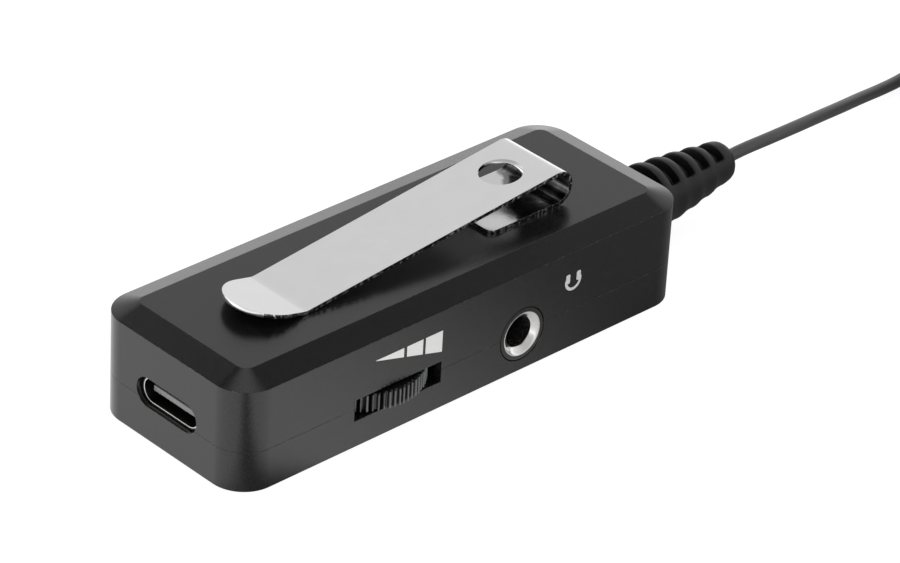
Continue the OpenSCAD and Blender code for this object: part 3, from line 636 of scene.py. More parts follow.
def spread(tree, value, low, high, from_low=0.0, from_high=1.0, smooth=False):
    """Maps a value to a range, in a straight line or with soft ends."""
    kind = "SMOOTHSTEP" if smooth else "LINEAR"
    limits = {"From Min": from_low, "From Max": from_high, "To Min": low, "To Max": high}
    node = add(tree, "ShaderNodeMapRange", {"Value": value}, interpolation_type=kind)
    for socket, number in limits.items():
        node.inputs[socket].default_value = number
    return node.outputs["Result"]


def maths(tree, operation, *values):
    """One step of arithmetic on outputs and plain numbers."""
    node = add(tree, "ShaderNodeMath", operation=operation)
    for socket, value in zip(node.inputs, values):
        if isinstance(value, bpy.types.NodeSocket):
            tree.links.new(value, socket)
        else:
            socket.default_value = value
    return node.outputs["Value"]


def along(tree, vector, direction):
    """How far a place lies along a direction."""
    node = add(tree, "ShaderNodeVectorMath", {0: vector}, operation="DOT_PRODUCT")
    node.inputs[1].default_value = direction
    return node.outputs["Value"]


def relief_of(tree, principled, height, depth_mm):
    """Raises the surface by the height, from 0 to 1, times a depth."""
    bump = add(tree, "ShaderNodeBump", {"Height": height}, Distance=depth_mm * MM)
    tree.links.new(bump.outputs["Normal"], principled.inputs["Normal"])


def roughened(tree, principled, value, low, high):
    """Runs the roughness between two values."""
    tree.links.new(spread(tree, value, low, high), principled.inputs["Roughness"])


def scaled(value, factor):
    return (*(min(1.0, c * factor) for c in value[:3]), 1.0)


def tinted(tree, principled, factor, dark, light):
    """Runs the base colour between two colours."""
    mix = add(tree, "ShaderNodeMix", {"Factor": factor}, data_type="RGBA")
    mix.inputs["A"].default_value = dark
    mix.inputs["B"].default_value = light
    tree.links.new(mix.outputs["Result"], principled.inputs["Base Color"])


def mottled(tree, principled, factor, base, low, high):
    """Runs the base colour between two multiples of one colour."""
    tinted(tree, principled, factor, scaled(base, low), scaled(base, high))


def anodised_aluminium(name, base, grit_mm=0.17):
    """Aluminium blasted with glass beads and dyed black while it is anodised.

    The beads leave fine dimples that break up reflections into a sandy, soft sheen. The real dimples
    are about 0.08 mm across and are drawn twice as wide, so that they show.
    """
    material, tree, principled, place_of = new_material(name, IOR=1.52)
    dimples = grain(tree, place_of, grit_mm)
    patches = grain(tree, place_of, 9, detail=3)
    mottled(tree, principled, spread(tree, dimples, 0, 1, 0.35, 0.65), base, 0.2, 2.4)
    roughened(tree, principled, patches, 0.23, 0.27)
    relief_of(tree, principled, dimples, 0.0045)
    return material


def worn_edge(name, base):
    """The same aluminium on its sharp edges, where blasting and handling thin the black skin.

    Bare metal shows through in short bright dashes.
    """
    material, tree, principled, place_of = new_material(name, IOR=1.52, Roughness=0.3)
    wear = grain(tree, place_of, 0.45, detail=3)
    bare = spread(tree, wear, 0.0, 1.0, 0.5, 0.7)
    tinted(tree, principled, bare, base, linear("6e6e70"))
    tree.links.new(bare, principled.inputs["Metallic"])
    return material


def polished_steel(name, base):
    """Spring steel strip, rolled and barrel polished.

    It mirrors the room softly, with faint streaks along the rolling direction and small rubs.
    """
    material, tree, principled, place_of = new_material(name, Metallic=1.0)
    streaks = grain(tree, place_of, 0.5, stretch_by=(0.03, 1.0, 1.0))
    rubs = grain(tree, place_of, 2.4, detail=4)
    mottled(tree, principled, rubs, base, 0.96, 1.03)
    roughened(tree, principled, streaks, 0.13, 0.18)
    relief_of(tree, principled, rubs, 0.0012)
    return material


def steel_painted_shade_inside(name, base, shade_start_x):
    """The inside of the bend, with painted shade: dark and clouded between the leaves, bright again
    towards the front.
    """
    material, tree, principled, place_of = new_material(name, Metallic=1.0, Roughness=0.16)
    clouds = grain(tree, place_of, 1.6, detail=4)
    ragged = maths(tree, "MULTIPLY_ADD", clouds, 3 * MM, along(tree, place_of, (1, -0.65, 0)))
    # painted shade: the steel turns dark past this place, into the bend between the leaves
    front = spread(tree, ragged, 1.0, 0.0, shade_start_x, shade_start_x + 1.2 * MM, smooth=True)
    spots = spread(tree, clouds, 0.0, 0.5, 0.45, 0.75)
    mottled(tree, principled, maths(tree, "MAXIMUM", front, spots), base, 0.14, 0.86)
    relief_of(tree, principled, clouds, 0.012)
    return material


def sheared_steel(name, base):
    """The strip's cut edge: burnished where the punch slid, torn below, so it glitters in dashes."""
    material, tree, principled, place_of = new_material(name, Metallic=1.0, Roughness=0.22)
    tears = grain(tree, place_of, 0.3, stretch_by=(1.0, 1.0, 0.6))
    tears = spread(tree, tears, 0.0, 1.0, 0.5, 0.64)
    mottled(tree, principled, tears, base, 0.08, 1.3)
    relief_of(tree, principled, tears, 0.02)
    return material


def bright_metal(name, hex_colour, roughness=0.18):
    """Plated, drawn or cast metal, from nickel to solder: a mirror with fine tool marks."""
    material, tree, principled, place_of = new_material(name, Metallic=1.0)
    marks = grain(tree, place_of, 0.25)
    mottled(tree, principled, marks, linear(hex_colour), 0.9, 1)
    roughened(tree, principled, marks, roughness * 0.8, roughness * 1.3)
    relief_of(tree, principled, marks, 0.002)
    return material


def moulded_plastic(name, hex_colour, roughness=0.5):
    """Injection moulded plastic from a spark-eroded mould: a fine even texture and a dull sheen."""
    material, tree, principled, place_of = new_material(name, IOR=1.5)
    texture = grain(tree, place_of, 0.2)
    mottled(tree, principled, texture, linear(hex_colour), 0.85, 1.15)
    roughened(tree, principled, texture, roughness * 0.85, roughness * 1.15)
    relief_of(tree, principled, texture, 0.004)
    return material


def acetal_painted_lit_crests(name, base, worn, axis, rim):
    """Acetal moulded black, the crests of its teeth painted grey as a painted highlight, the grooves
    dark; the colour named worn is that highlight.
    """
    material, tree, principled, place_of = new_material(name, IOR=1.48, Roughness=0.3)
    flat = add(tree, "ShaderNodeMapping", {"Vector": place_of}, Scale=(1, 1, 0))
    flat.inputs["Location"].default_value = (-axis.x, -axis.y, 0)
    out = add(tree, "ShaderNodeVectorMath", {0: flat.outputs["Vector"]}, operation="LENGTH")
    # painted highlight: the crests get the lighter colour, the grooves keep the black
    lit_crest_mask = spread(tree, out.outputs["Value"], 0.0, 1.0, rim - 0.22 * MM, rim - 0.02 * MM)
    tinted(tree, principled, lit_crest_mask, base, worn)
    relief_of(tree, principled, grain(tree, place_of, 0.15), 0.004)
    return material


def soft_rubber(name, base):
    """Thermoplastic rubber moulded over the cable: matt, with a bloom that greys the ribs."""
    material, tree, principled, place_of = new_material(name, IOR=1.5)
    bloom = grain(tree, place_of, 3.5, detail=4)
    pores = grain(tree, place_of, 0.3)
    mottled(tree, principled, bloom, base, 0.8, 1.7)
    roughened(tree, principled, bloom, 0.4, 0.55)
    relief_of(tree, principled, pores, 0.008)
    return material


def extruded_jacket(name, base):
    """Soft PVC jacket, extruded: a satin skin with faint dull patches from handling."""
    material, tree, principled, place_of = new_material(name, IOR=1.5)
    patches = grain(tree, place_of, 1.8, detail=3)
    mottled(tree, principled, patches, base, 0.85, 1.2)
    roughened(tree, principled, patches, 0.36, 0.46)
    relief_of(tree, principled, grain(tree, place_of, 0.25), 0.004)
    return material


def screen_ink(name, base):
    """White screen ink, cured on the anodised side: opaque, flat and slightly grainy."""
    material, tree, principled, place_of = new_material(name, IOR=1.5, Roughness=0.5)
    specks = grain(tree, place_of, 0.12)
    mottled(tree, principled, specks, base, 0.94, 1.02)
    relief_of(tree, principled, specks, 0.002)
    return material


def open_foam(name, base):
    """Open-celled polyurethane foam: cells about 0.5 mm across, painted dark in their pits as shade
    and lighter on their rims.
    """
    material, tree, principled, place_of = new_material(name, Roughness=0.95)
    cells = add(tree, "ShaderNodeTexVoronoi", {"Vector": place_of}, Scale=1 / (0.55 * MM))
    # painted shade: darker towards the middle of each cell's pit, lighter at its rim
    depth = spread(tree, cells.outputs["Distance"], 1.0, 0.0, 0.1, 0.6)
    mottled(tree, principled, depth, base, 1.7, 0.25)
    relief_of(tree, principled, cells.outputs["Distance"], 0.18)
    return material


def woven_tape(name, base):
    """Woven nylon hook-and-loop tape: ribs of weft 0.3 mm apart under a fuzz of loops."""
    material, tree, principled, place_of = new_material(name, Roughness=0.9, Sheen_Weight=0.4)
    ribs = add(
        tree, "ShaderNodeTexWave", {"Vector": place_of}, Scale=0.31 / (0.3 * MM), Distortion=1.5
    )
    ribs.bands_direction = "Y"
    fuzz = grain(tree, place_of, 0.18, detail=3)
    mottled(tree, principled, fuzz, base, 0.6, 1.5)
    relief_of(tree, principled, maths(tree, "ADD", ribs.outputs["Fac"], fuzz), 0.06)
    return material


def solder_mask(name, hex_colour):
    """Green lacquer over copper tracks on glass-fibre board: glossy, with tracks showing through."""
    material, tree, principled, place_of = new_material(name, IOR=1.5, Roughness=0.25)
    tracks = add(tree, "ShaderNodeTexVoronoi", {"Vector": place_of}, Scale=1 / (2 * MM))
    tracks.distance = "MANHATTAN"
    edge = spread(tree, tracks.outputs["Distance"], 0.0, 1.0, 0.30, 0.34)
    mottled(tree, principled, edge, linear(hex_colour), 1.6, 1)
    relief_of(tree, principled, edge, 0.01)
    return material


# ---------------------------------------------------------------------------------------------
# Operators
# ---------------------------------------------------------------------------------------------


class Builder(bpy.types.Operator):
    """Base of the operators that build pieces."""

    bl_options = {"REGISTER", "UNDO"}

    def execute(self, context):
        self.build(context.scene.microphone)
        return {"FINISHED"}


def screw_places(box):
    return [(x * box.boss_x, y * box.boss_y) for x in (-1, 1) for y in (-1, 1)]


def cut_ports(shell, settings):
    """Cuts the openings that both shells share: port, wheel slot, socket and cable."""
    box, port, wheel, socket = settings.box, settings.port, settings.wheel, settings.socket
    end, side = box.length / 2, box.width / 2
    opening = stadium(
        "port_cutter",
        port.width + 2 * port.side_gap,
        port.height + 2 * port.top_gap,
        -end - PAST,
        -end + box.wall + PAST,
    )
    drill(shell, opening, spot(z=port.middle))
    slot = block(
        "slot_cutter",
        (wheel.place - wheel.slot / 2, -side - PAST, wheel.slot_low),
        (wheel.place + wheel.slot / 2, -side + box.wall + PAST, wheel.slot_high),
    )
    combine(shell, slot)
    hole = rod("hole_cutter", socket.hole, -side - PAST, -side + box.wall + PAST / 2, 72)
    drill(shell, hole, spot(socket.place, 0, socket.middle) @ TO_BACK)
    gland = rod("gland_cutter", box.gland, end - box.wall - PAST, end + PAST)
    drill(shell, gland, spot(z=box.parting) @ TO_RIGHT)


def hollow(shell, box, low, high):
    """Hollows a shell between two heights and leaves its wall."""
    length, width = box.length - 2 * box.wall, box.width - 2 * box.wall
    cavity = rounded_block("cavity", length, width, low, high, box.corner - box.wall)
    close_mesh()
    combine(shell, cavity)


def finish_shell(shell, box, node):
    """Breaks a shell's edges, which wear bright, and finishes it."""
    coat(shell, "box", "worn")
    soften(shell, box.edge, limit=15, material=1)
    complete(shell, smooth=15, weighted=True, replaces=[node], slot="anodised_aluminium")


class MICROPHONE_OT_upper_shell(Builder):
    """Models the bevelled upper shell, its bosses and its openings."""

    bl_idname = "microphone.upper_shell"
    bl_label = "Upper shell"

    def build(self, settings):
        box, clip = settings.box, settings.clip
        shoulder = box.height - box.bevel_drop
        shell = rounded_block(
            "upper_shell_blasted", box.length, box.width, box.parting, shoulder, box.corner
        )
        pick("FACE", faces_up(shoulder))
        bpy.ops.mesh.inset(thickness=box.bevel_run, depth=box.bevel_drop)
        close_mesh()
        hollow(shell, box, box.parting - PAST, box.height - box.wall)
        for x, y in screw_places(box):
            boss = rod("boss", box.boss, box.board, box.height - box.wall / 2, 32)
            place(boss, spot(x, y))
            combine(shell, boss, "UNION")
            bore = rod("bore", box.screw, box.board - PAST, box.screw_end, 24)
            drill(shell, bore, spot(x, y))
        cut_ports(shell, settings)
        hole = rod("hole", clip.rivet, box.height - 2 * box.wall, box.height + PAST, 24)
        drill(shell, hole, spot(clip.hole_place, clip.side_place))
        finish_shell(shell, box, "upper_shell")


class MICROPHONE_OT_lower_shell(Builder):
    """Models the lower shell as a tray with countersunk screw holes."""

    bl_idname = "microphone.lower_shell"
    bl_label = "Lower shell"

    def build(self, settings):
        box = settings.box
        shell = rounded_block(
            "lower_shell_blasted", box.length, box.width, 0, box.parting, box.corner
        )
        close_mesh()
        hollow(shell, box, box.wall, box.parting + PAST)
        boss_top = box.wall + 0.7 * MM
        sunk = 0.15 * MM
        shank = box.screw + 0.1 * MM
        profile = [
            (box.screw_head, -PAST),
            (box.screw_head, sunk),
            (shank, sunk + box.screw_head - box.screw),
            (shank, box.board + 0.1 * MM),
        ]
        for x, y in screw_places(box):
            boss = rod("boss", box.boss, box.wall / 2, boss_top, 32)
            place(boss, spot(x, y))
            combine(shell, boss, "UNION")
            drill(shell, turned("sink", profile, sides=32), spot(x, y))
        cut_ports(shell, settings)
        finish_shell(shell, box, "lower_shell")


class MICROPHONE_OT_port(Builder):
    """Models the port's drawn metal shell and the moulded tongue inside it."""

    bl_idname = "microphone.port"
    bl_label = "USB-C port"

    def build(self, settings):
        box, port = settings.box, settings.port
        front = -box.length / 2 + port.set_back
        back = front + port.length
        inner_width = port.width - 2 * port.wall
        inner_height = port.height - 2 * port.wall
        shell = stadium("port_shell_drawn", port.width, port.height, front, back, 16)
        inner = stadium("inner", inner_width, inner_height, front - PAST, back + PAST, 16)
        combine(shell, inner)
        place(shell, spot(z=port.middle))
        soften(shell, 0.07 * MM, segments=3, limit=40)
        # the inner skin gets a darker nickel: painted shade inside the port
        coat(shell, "nickel", "nickel_dull")
        paint(shell, 1, lambda at, face: self.is_inside(at, port) and abs(face.normal.x) < 0.3)
        complete(shell, replaces=["usb_shell"], slot="plated_steel")

        half_width, half = port.tongue_width / 2, port.tongue / 2
        tongue = block(
            "tongue",
            (front + port.tongue_back, -half_width, port.middle - half),
            (back, half_width, port.middle + half),
        )
        soften(tongue, 0.12 * MM, segments=3, limit=40)
        plug_end = back + 0.6 * MM
        plug = stadium("plug", inner_width, inner_height, back - 2.4 * MM, plug_end)
        place(plug, spot(z=port.middle))
        wall = block(
            "wall",
            (back, -inner_width / 2, box.board),
            (back + 1.2 * MM, inner_width / 2, port.middle + port.height / 2),
        )
        straight = (port.width - port.height) / 2
        base = block(
            "base",
            (-box.length / 2 + port.foot, -straight, box.board),
            (plug_end, straight, port.middle - port.height / 2),
        )
        insulator = join([tongue, plug, wall, base], "port_tongue_moulded")
        complete(insulator, "tongue", replaces=["usb_insulator"], slot="grey_plastic")

    @staticmethod
    def is_inside(at, port):
        """Tells the shell's inner skin from its outer one."""
        straight = (port.width - port.height) / 2
        beyond = max(0, abs(at.y) - straight)
        return math.hypot(beyond, at.z - port.middle) < port.height / 2 - 0.6 * port.wall


def wheel_axis(settings):
    """Place of the thumbwheel's upright axis."""
    wheel = settings.wheel
    return Vector((wheel.place, wheel.radius - wheel.stand_out - settings.box.width / 2, 0))


class MICROPHONE_OT_thumbwheel(Builder):
    """Models the volume thumbwheel with its moulded teeth."""

    bl_idname = "microphone.thumbwheel"
    bl_label = "Volume thumbwheel"

    def build(self, settings):
        wheel = settings.wheel
        root = wheel.radius - wheel.tooth
        # how high the rim's points stand in each tooth, from one groove to the next
        steps = [root + wheel.tooth * share for share in (0, 0.12, 0.8, 1, 0.8, 0.12)]
        count = len(steps) * wheel.teeth
        piece = start(
            "volume_wheel_moulded",
            bpy.ops.mesh.primitive_cylinder_add,
            vertices=count,
            radius=wheel.radius,
            depth=wheel.thickness,
            location=(0, 0, wheel.low + wheel.thickness / 2),
        )
        for k, radius in enumerate(steps):
            pick("VERT", lambda at, vert: self.step_of(at, count) % len(steps) == k)
            factor = radius / wheel.radius
            stretch(factor, factor, 1, (0, 0, 0))
        for low_side in (False, True):
            height = wheel.low if low_side else wheel.low + wheel.thickness
            pick("FACE", lambda at, face: abs(face.normal.z) > 0.9 and abs(at.z - height) < NEAR)
            bpy.ops.mesh.inset(thickness=wheel.chamfer_run)
            move(0, 0, -wheel.chamfer if low_side else wheel.chamfer)
        close_mesh()
        self.trim(piece, wheel)
        top = wheel.low + wheel.thickness
        combine(piece, rod("bore", wheel.post, 0, top + PAST, 32))
        below, recess_top = wheel.low - PAST, wheel.low + wheel.recess_depth
        profile = [
            (wheel.hub, below),
            (wheel.recess, below),
            (wheel.recess, recess_top),
            (wheel.hub, recess_top),
        ]
        combine(piece, turned("recess", profile, closed=True))
        place(piece, spot(*wheel_axis(settings)))
        complete(
            piece,
            "wheel",
            body="volume_wheel",
            smooth=12,
            replaces=["volume_wheel"],
            slot="wheel_plastic",
        )

    @staticmethod
    def step_of(at, count):
        return round(math.atan2(at.y, at.x) * count / math.tau)

    @staticmethod
    def trim(piece, wheel):
        """Brings the bevelled rims back to the wheel's real thickness."""
        factor = wheel.thickness / (wheel.thickness + 2 * wheel.chamfer)
        edit(piece)
        bpy.ops.mesh.select_all(action="SELECT")
        stretch(1, 1, factor, (0, 0, wheel.low + wheel.thickness / 2))
        bpy.ops.object.mode_set(mode="OBJECT")


class MICROPHONE_OT_socket(Builder):
    """Models the headphone socket: a moulded body and a turned metal bushing."""

    bl_idname = "microphone.socket"
    bl_label = "Headphone socket"

    def build(self, settings):
        box, socket = settings.box, settings.socket
        # along the socket's own axis: 0 is the outer face, and z runs into the box
        inward = spot(socket.place, -box.width / 2, socket.middle) @ TO_BACK
        self.body(box, socket, inward)
        self.bushing(socket, inward)

    @staticmethod
    def body(box, socket, inward):
        end = socket.depth + 0.5 * MM
        nose = rod("nose", socket.nose, 0, box.wall + 0.2 * MM, 72)
        soften(nose, 0.1 * MM, limit=40)
        half = socket.body / 2
        body = block(
            "socket_body_moulded", (-half, -half, box.wall), (half, half, end + socket.body_end)
        )
        soften(body, 0.2 * MM, limit=40)
        combine(body, nose, "UNION")
        profile = [
            (socket.bushing, -PAST),
            (socket.bushing, socket.bushing_length),
            (socket.bore, socket.bushing_length),
            (socket.bore, end),
        ]
        combine(body, turned("bore", profile, sides=72))
        x, z = socket.window / 2, socket.window_length / 2
        for spring in (6.5 * MM, 10 * MM, 13.5 * MM):
            window = block("window", (-x, -socket.body, spring - z), (x, 0, spring + z))
            combine(body, window)
        place(body, inward)
        complete(body, "black_plastic", replaces=["jack_body"], slot="black_plastic")

    @staticmethod
    def bushing(socket, inward):
        """Turns the bushing: a flat lip, a flat cone, a small step and the bore."""
        outer, bore, sink = socket.bushing, socket.bore, socket.countersink
        lip = outer - 0.06 * MM
        profile = [
            (outer, 0.04 * MM),
            (outer - 0.03 * MM, 0),
            (lip, 0),
            (lip - 0.04 * MM, 0.01 * MM),
            (lip - 0.32 * MM, 0.22 * MM),
            (lip - 0.36 * MM, 0.26 * MM),
            (bore + 0.08 * MM, sink),
            (bore, sink + 0.1 * MM),
            (bore, socket.bushing_length),
            (outer, socket.bushing_length),
        ]
        piece = turned("socket_bushing_turned", profile, sides=96, closed=True)
        place(piece, inward)
        complete(piece, "nickel_turned", replaces=["jack_bushing"], slot="plated_steel")


class MICROPHONE_OT_belt_clip(Builder):
    """Models the belt clip as one strip that is drawn out and bent, and its rivet."""

    bl_idname = "microphone.belt_clip"
    bl_label = "Belt clip"

    def build(self, settings):
        box, clip = settings.box, settings.clip
        half = clip.thickness / 2
        centre = Vector((clip.bend_place, clip.side_place, box.height + clip.bend))
        crease = Vector((clip.crease_place, clip.side_place, box.height + clip.crease_gap))
        inner = clip.bend - clip.thickness
        run = centre - crease
        slope = math.asin(inner / math.hypot(run.x, run.z)) + math.atan2(run.z, run.x)
        normal = Vector((-math.sin(slope), 0, math.cos(slope)))

        foot = Vector(
            ((clip.foot_place + clip.bend_place) / 2, clip.side_place, box.height + half)
        )
        strip = start(
            "belt_clip_strip",
            bpy.ops.mesh.primitive_plane_add,
            size=clip.rear_width,
            location=foot,
        )
        stretch((clip.bend_place - clip.foot_place) / clip.rear_width, 1, 1, foot)
        pick("VERT", lambda at, vert: at.x < clip.foot_place + NEAR)
        round_off(clip.foot_corner, 8, "VERTICES")
        pick("EDGE", lambda at, edge: abs(at.x - clip.bend_place) < NEAR)
        sweep(-math.pi - slope, centre, 30)
        self.draw_out_leaf(crease + half * normal, clip, slope)
        close_mesh()
        modify(strip, "SOLIDIFY", thickness=clip.thickness, offset=0)
        self.pierce(strip, box, clip)
        soften(strip, clip.edge, segments=3, limit=35)
        # the third material paints shade inside the bend
        coat(strip, "steel", "sheared", "inside")
        self.mark_faces(strip, box, clip)
        complete(
            strip,
            body=None,
            smooth=40,
            weighted=True,
            replaces=["belt_clip_foot", "belt_clip_leaf"],
            slot="clip_steel",
        )
        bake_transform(strip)
        self.rivet(box, clip)

    @staticmethod
    def draw_out_leaf(crease, clip, slope):
        """Draws out the upper leaf from the bend, its soft crease and its tab with a round end."""
        forward = Vector((-math.cos(slope), 0, -math.sin(slope)))
        up = Vector((-math.sin(slope), 0, math.cos(slope)))
        along_tab = Vector((-math.cos(clip.tab_angle), 0, math.sin(clip.tab_angle)))
        turn = slope + clip.tab_angle
        tangent = clip.crease * math.tan(turn / 2)
        mesh = bmesh.from_edit_mesh(bpy.context.object.data)
        ends = [vert.co for vert in mesh.verts if vert.select]
        leaf_start = (ends[0] + ends[1]) / 2
        leaf_end = crease - tangent * forward
        extrude(*(leaf_end - leaf_start))
        stretch(1, clip.front_width / clip.rear_width, 1, leaf_end)
        sweep(turn, leaf_end + clip.crease * up, 6)
        extrude(*((clip.tab - tangent) * along_tab))
        tip = crease + clip.tab * along_tab
        pick("VERT", lambda at, vert: abs(at.x - tip.x) < 0.01 * MM)
        round_off(clip.front_width / 2 * ALMOST, 20, "VERTICES")

    @staticmethod
    def pierce(strip, box, clip):
        """Cuts the hole in the upper leaf, with its coined edge, and the rivet's seat."""
        top = box.height + 2 * clip.bend
        under = top - clip.thickness
        hole = [
            (clip.hole, top - 2 * MM),
            (clip.hole, under - 0.2 * MM),
            (clip.hole + 0.05 * MM, under),
            (clip.hole + 0.5 * MM, top + 0.35 * MM),
        ]
        foot = box.height + clip.thickness
        head = clip.rivet + clip.thickness
        seat = [
            (clip.rivet - PAST / 2, box.height - PAST / 2),
            (clip.rivet, box.height),
            (head + 0.2 * MM, foot),
            (head + 0.3 * MM, foot + 0.1 * MM),
        ]
        for profile, sides in ((hole, 72), (seat, 48)):
            tool = turned("tool", profile, sides=sides)
            drill(strip, tool, spot(clip.hole_place, clip.side_place))

    @staticmethod
    def mark_faces(strip, box, clip):
        """Marks the sheared sides, and the inside of the bend, which gets the steel with painted
        shade.
        """
        centre = Vector((clip.bend_place, 0, box.height + clip.bend))
        inner = clip.bend - clip.thickness / 2
        past_hole = clip.hole + 1 * MM
        inside_end = clip.foot_place - 3 * MM

        def is_side(at, face):
            return abs(face.normal.y) > 0.75 and abs(at.y - clip.side_place) > past_hole

        def is_inside(at, face):
            if abs(face.normal.y) > 0.5 or at.x < inside_end:
                return False
            if at.x > clip.bend_place:
                return (at.xz - centre.xz).length < inner
            return abs(at.z - centre.z) < inner and face.normal.z * (centre.z - at.z) > 0

        paint(strip, 1, is_side)
        paint(strip, 2, is_inside)

    @staticmethod
    def rivet(box, clip):
        """Turns the rivet: a swollen end under the wall, a shank and a flat head."""
        top, wall = box.height + clip.thickness, box.height - box.wall
        head = clip.rivet + clip.thickness + 0.2 * MM
        profile = [
            (clip.rivet + 0.7 * MM, wall - 0.6 * MM),
            (clip.rivet + 0.7 * MM, wall),
            (clip.rivet, wall),
            (clip.rivet, box.height),
            (head - 0.04 * MM, top - 0.03 * MM),
            (head - 0.1 * MM, top - 0.005 * MM),
            (0.4 * MM, top - 0.03 * MM),
        ]
        rivet = turned("belt_clip_rivet_ground", profile, sides=48)
        place(rivet, spot(clip.hole_place, clip.side_place))
        complete(rivet, "steel", replaces=["belt_clip_rivet"], slot="clip_steel")


class MICROPHONE_OT_strain_relief(Builder):
    """Models the ribbed rubber sleeve with its slots above and below."""

    bl_idname = "microphone.strain_relief"
    bl_label = "Strain relief"

    def build(self, settings):
        box, sleeve, cable = settings.box, settings.relief, settings.cable
        tip = sleeve.length
        last = tip - sleeve.last_cut
        cuts = [last - k * sleeve.pitch for k in reversed(range(sleeve.cuts))]
        half = sleeve.cut_width / 2
        wire = cable.diameter / 2 + 0.02 * MM
        base = 0.2 * MM
        profile = [(wire, base), (self.radius(sleeve, 0) + 0.05 * MM, base)]
        for s in cuts:
            dip = self.radius(sleeve, s) - sleeve.scallop + 0.03 * MM
            rib = s + sleeve.pitch / 2
            profile += [(dip, s - half), (dip, s + half), (self.radius(sleeve, rib), rib)]
        profile += [
            (0.95 * sleeve.tip, tip - 0.85 * MM),
            (0.66 * sleeve.tip, tip - 0.25 * MM),
            (wire + 0.1 * MM, tip),
            (wire, tip - 0.3 * MM),
        ]
        piece = turned("strain_relief_moulded", profile, sides=64, closed=True)
        edit(piece)
        for s in cuts:
            self.sink(sleeve, s, half)
        close_mesh()
        soften(piece, 0.16 * MM, limit=50)
        modify(piece, "SUBSURF", levels=1, render_levels=1)
        exit_place = spot(box.length / 2, 0, box.parting)
        place(piece, exit_place @ Matrix.Rotation(math.pi / 2 - sleeve.lean, 4, "Y"))
        collar = rod("collar", sleeve.base + 0.12 * MM, 0, 0.4 * MM, 72)
        soften(collar, 0.12 * MM, limit=40)
        flange = rod("flange", sleeve.flange, -box.wall - 1.6 * MM, -box.wall)
        neck = rod("neck", sleeve.neck, -box.wall - 0.8 * MM, 0.2 * MM)
        for part in (collar, flange, neck):
            place(part, exit_place @ TO_RIGHT)
        whole = join([piece, collar, flange, neck], "strain_relief_moulded")
        complete(whole, "rubber", smooth=60, replaces=["strain_relief"], slot="black_rubber")

    @staticmethod
    def radius(sleeve, s):
        """Outer radius at a distance from the box: a taper that steepens towards the tip."""
        share = s / (sleeve.length - 1.7 * MM)
        return sleeve.base - (sleeve.base - sleeve.tip) * share * (0.47 + 0.53 * share)

    @staticmethod
    def sink(sleeve, s, half):
        """Sinks the two slots of one cut, between its rings near the top and underside."""

        def is_slot(at, face):
            turn = abs(math.atan2(at.y, at.x))
            from_top = min(turn, math.pi - turn)
            is_outer = at.xy.length > sleeve.tip / 2
            return is_outer and abs(at.z - s) < 0.6 * half and from_top < sleeve.cut_angle / 2

        pick("FACE", is_slot)
        outer = MICROPHONE_OT_strain_relief.radius(sleeve, s)
        factor = (outer - sleeve.cut_depth) / outer
        extrude()
        stretch(factor, factor, 1, (0, 0, s))


def cable_route():
    """Points of the cable: from the strain relief down to the table and to the coil's start."""
    run = [
        (50.3, 0, 5.46), (53, 0, 5.56), (57, 0, 5.5), (62, 0.4, 5.1), (67, 1.2, 4.4), (72, 2.2, 3.5),
        (77, 3.5, 2.4), (82, 4.6, 1.4), (86, 5.3, 0.9), (90, 5.75, 0.95), (93, 5.9, 1.25),
        (95.5, 5.9, 1.45),
    ]
    return [Vector(p) * MM for p in run]


def coil_route(cable, begin):
    """Points of the coil: wound inwards on one layer, outwards on the next, a turn gap apart."""
    pitch = cable.diameter + cable.gap
    per_layer = cable.turns / cable.layers
    centre = Vector((begin.x + cable.diameter, begin.y - cable.coil, begin.z))
    steps = 24
    points = []
    for i in range(int(cable.turns * steps) + 1):
        t = i / steps
        fold = t % (2 * per_layer)
        inward = min(fold, 2 * per_layer - fold)
        climbed = sum(
            min(1, max(0, 2 * (t - k * per_layer) + 0.5)) for k in range(1, cable.layers)
        )
        radius = cable.coil - pitch * inward
        around = Vector((math.sin(math.tau * t), math.cos(math.tau * t), 0))
        points.append(centre + radius * around + Vector((0, 0, pitch * climbed)))
    return points


def lead_route(settings):
    """Points of the cable from the coil's end, down past its rim, to the microphone's boot."""
    end = coil_route(settings.cable, cable_route()[-1])[-1]
    low = head_height(settings)
    shape = [
        (1.5, 0, 1), (2.9, 0, 1), (5, -0.4, 0.98), (7.6, -1.4, 0.92), (10, -3, 0.78),
        (12.1, -5, 0.52), (13.8, -6.8, 0.26), (15.3, -8, 0.09), (17, -8.5, 0), (18.5, -8.5, 0),
    ]
    return [
        Vector((end.x + along * MM, end.y + across * MM, low + left * (end.z - low)))
        for along, across, left in shape
    ]


def head_height(settings):
    """Height of the barrel's axis where the foam lies on the table."""
    return settings.head.foam + 0.1 * MM


class MICROPHONE_OT_cable(Builder):
    """Lays the cable as one curve: out of the sleeve, through its coil and to the microphone."""

    bl_idname = "microphone.cable"
    bl_label = "Cable"

    def build(self, settings):
        cable = settings.cable
        run = cable_route()
        points = run + coil_route(cable, run[-1]) + lead_route(settings)
        curve = bpy.data.curves.new("microphone_cable", "CURVE")
        curve.dimensions = "3D"
        curve.bevel_depth = cable.diameter / 2
        curve.bevel_resolution = 3
        curve.resolution_u = 4
        curve.use_fill_caps = True
        spline = curve.splines.new("BEZIER")
        spline.bezier_points.add(len(points) - 1)
        for knot, point in zip(spline.bezier_points, points):
            knot.co = point
            knot.handle_left_type = knot.handle_right_type = "AUTO"
        piece = bpy.data.objects.new("microphone_cable", curve)
        bpy.context.scene.collection.objects.link(piece)
        coat(piece, "jacket")
        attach(piece, "housing")
        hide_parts("cable_run", "cable_coil", "mic_lead")


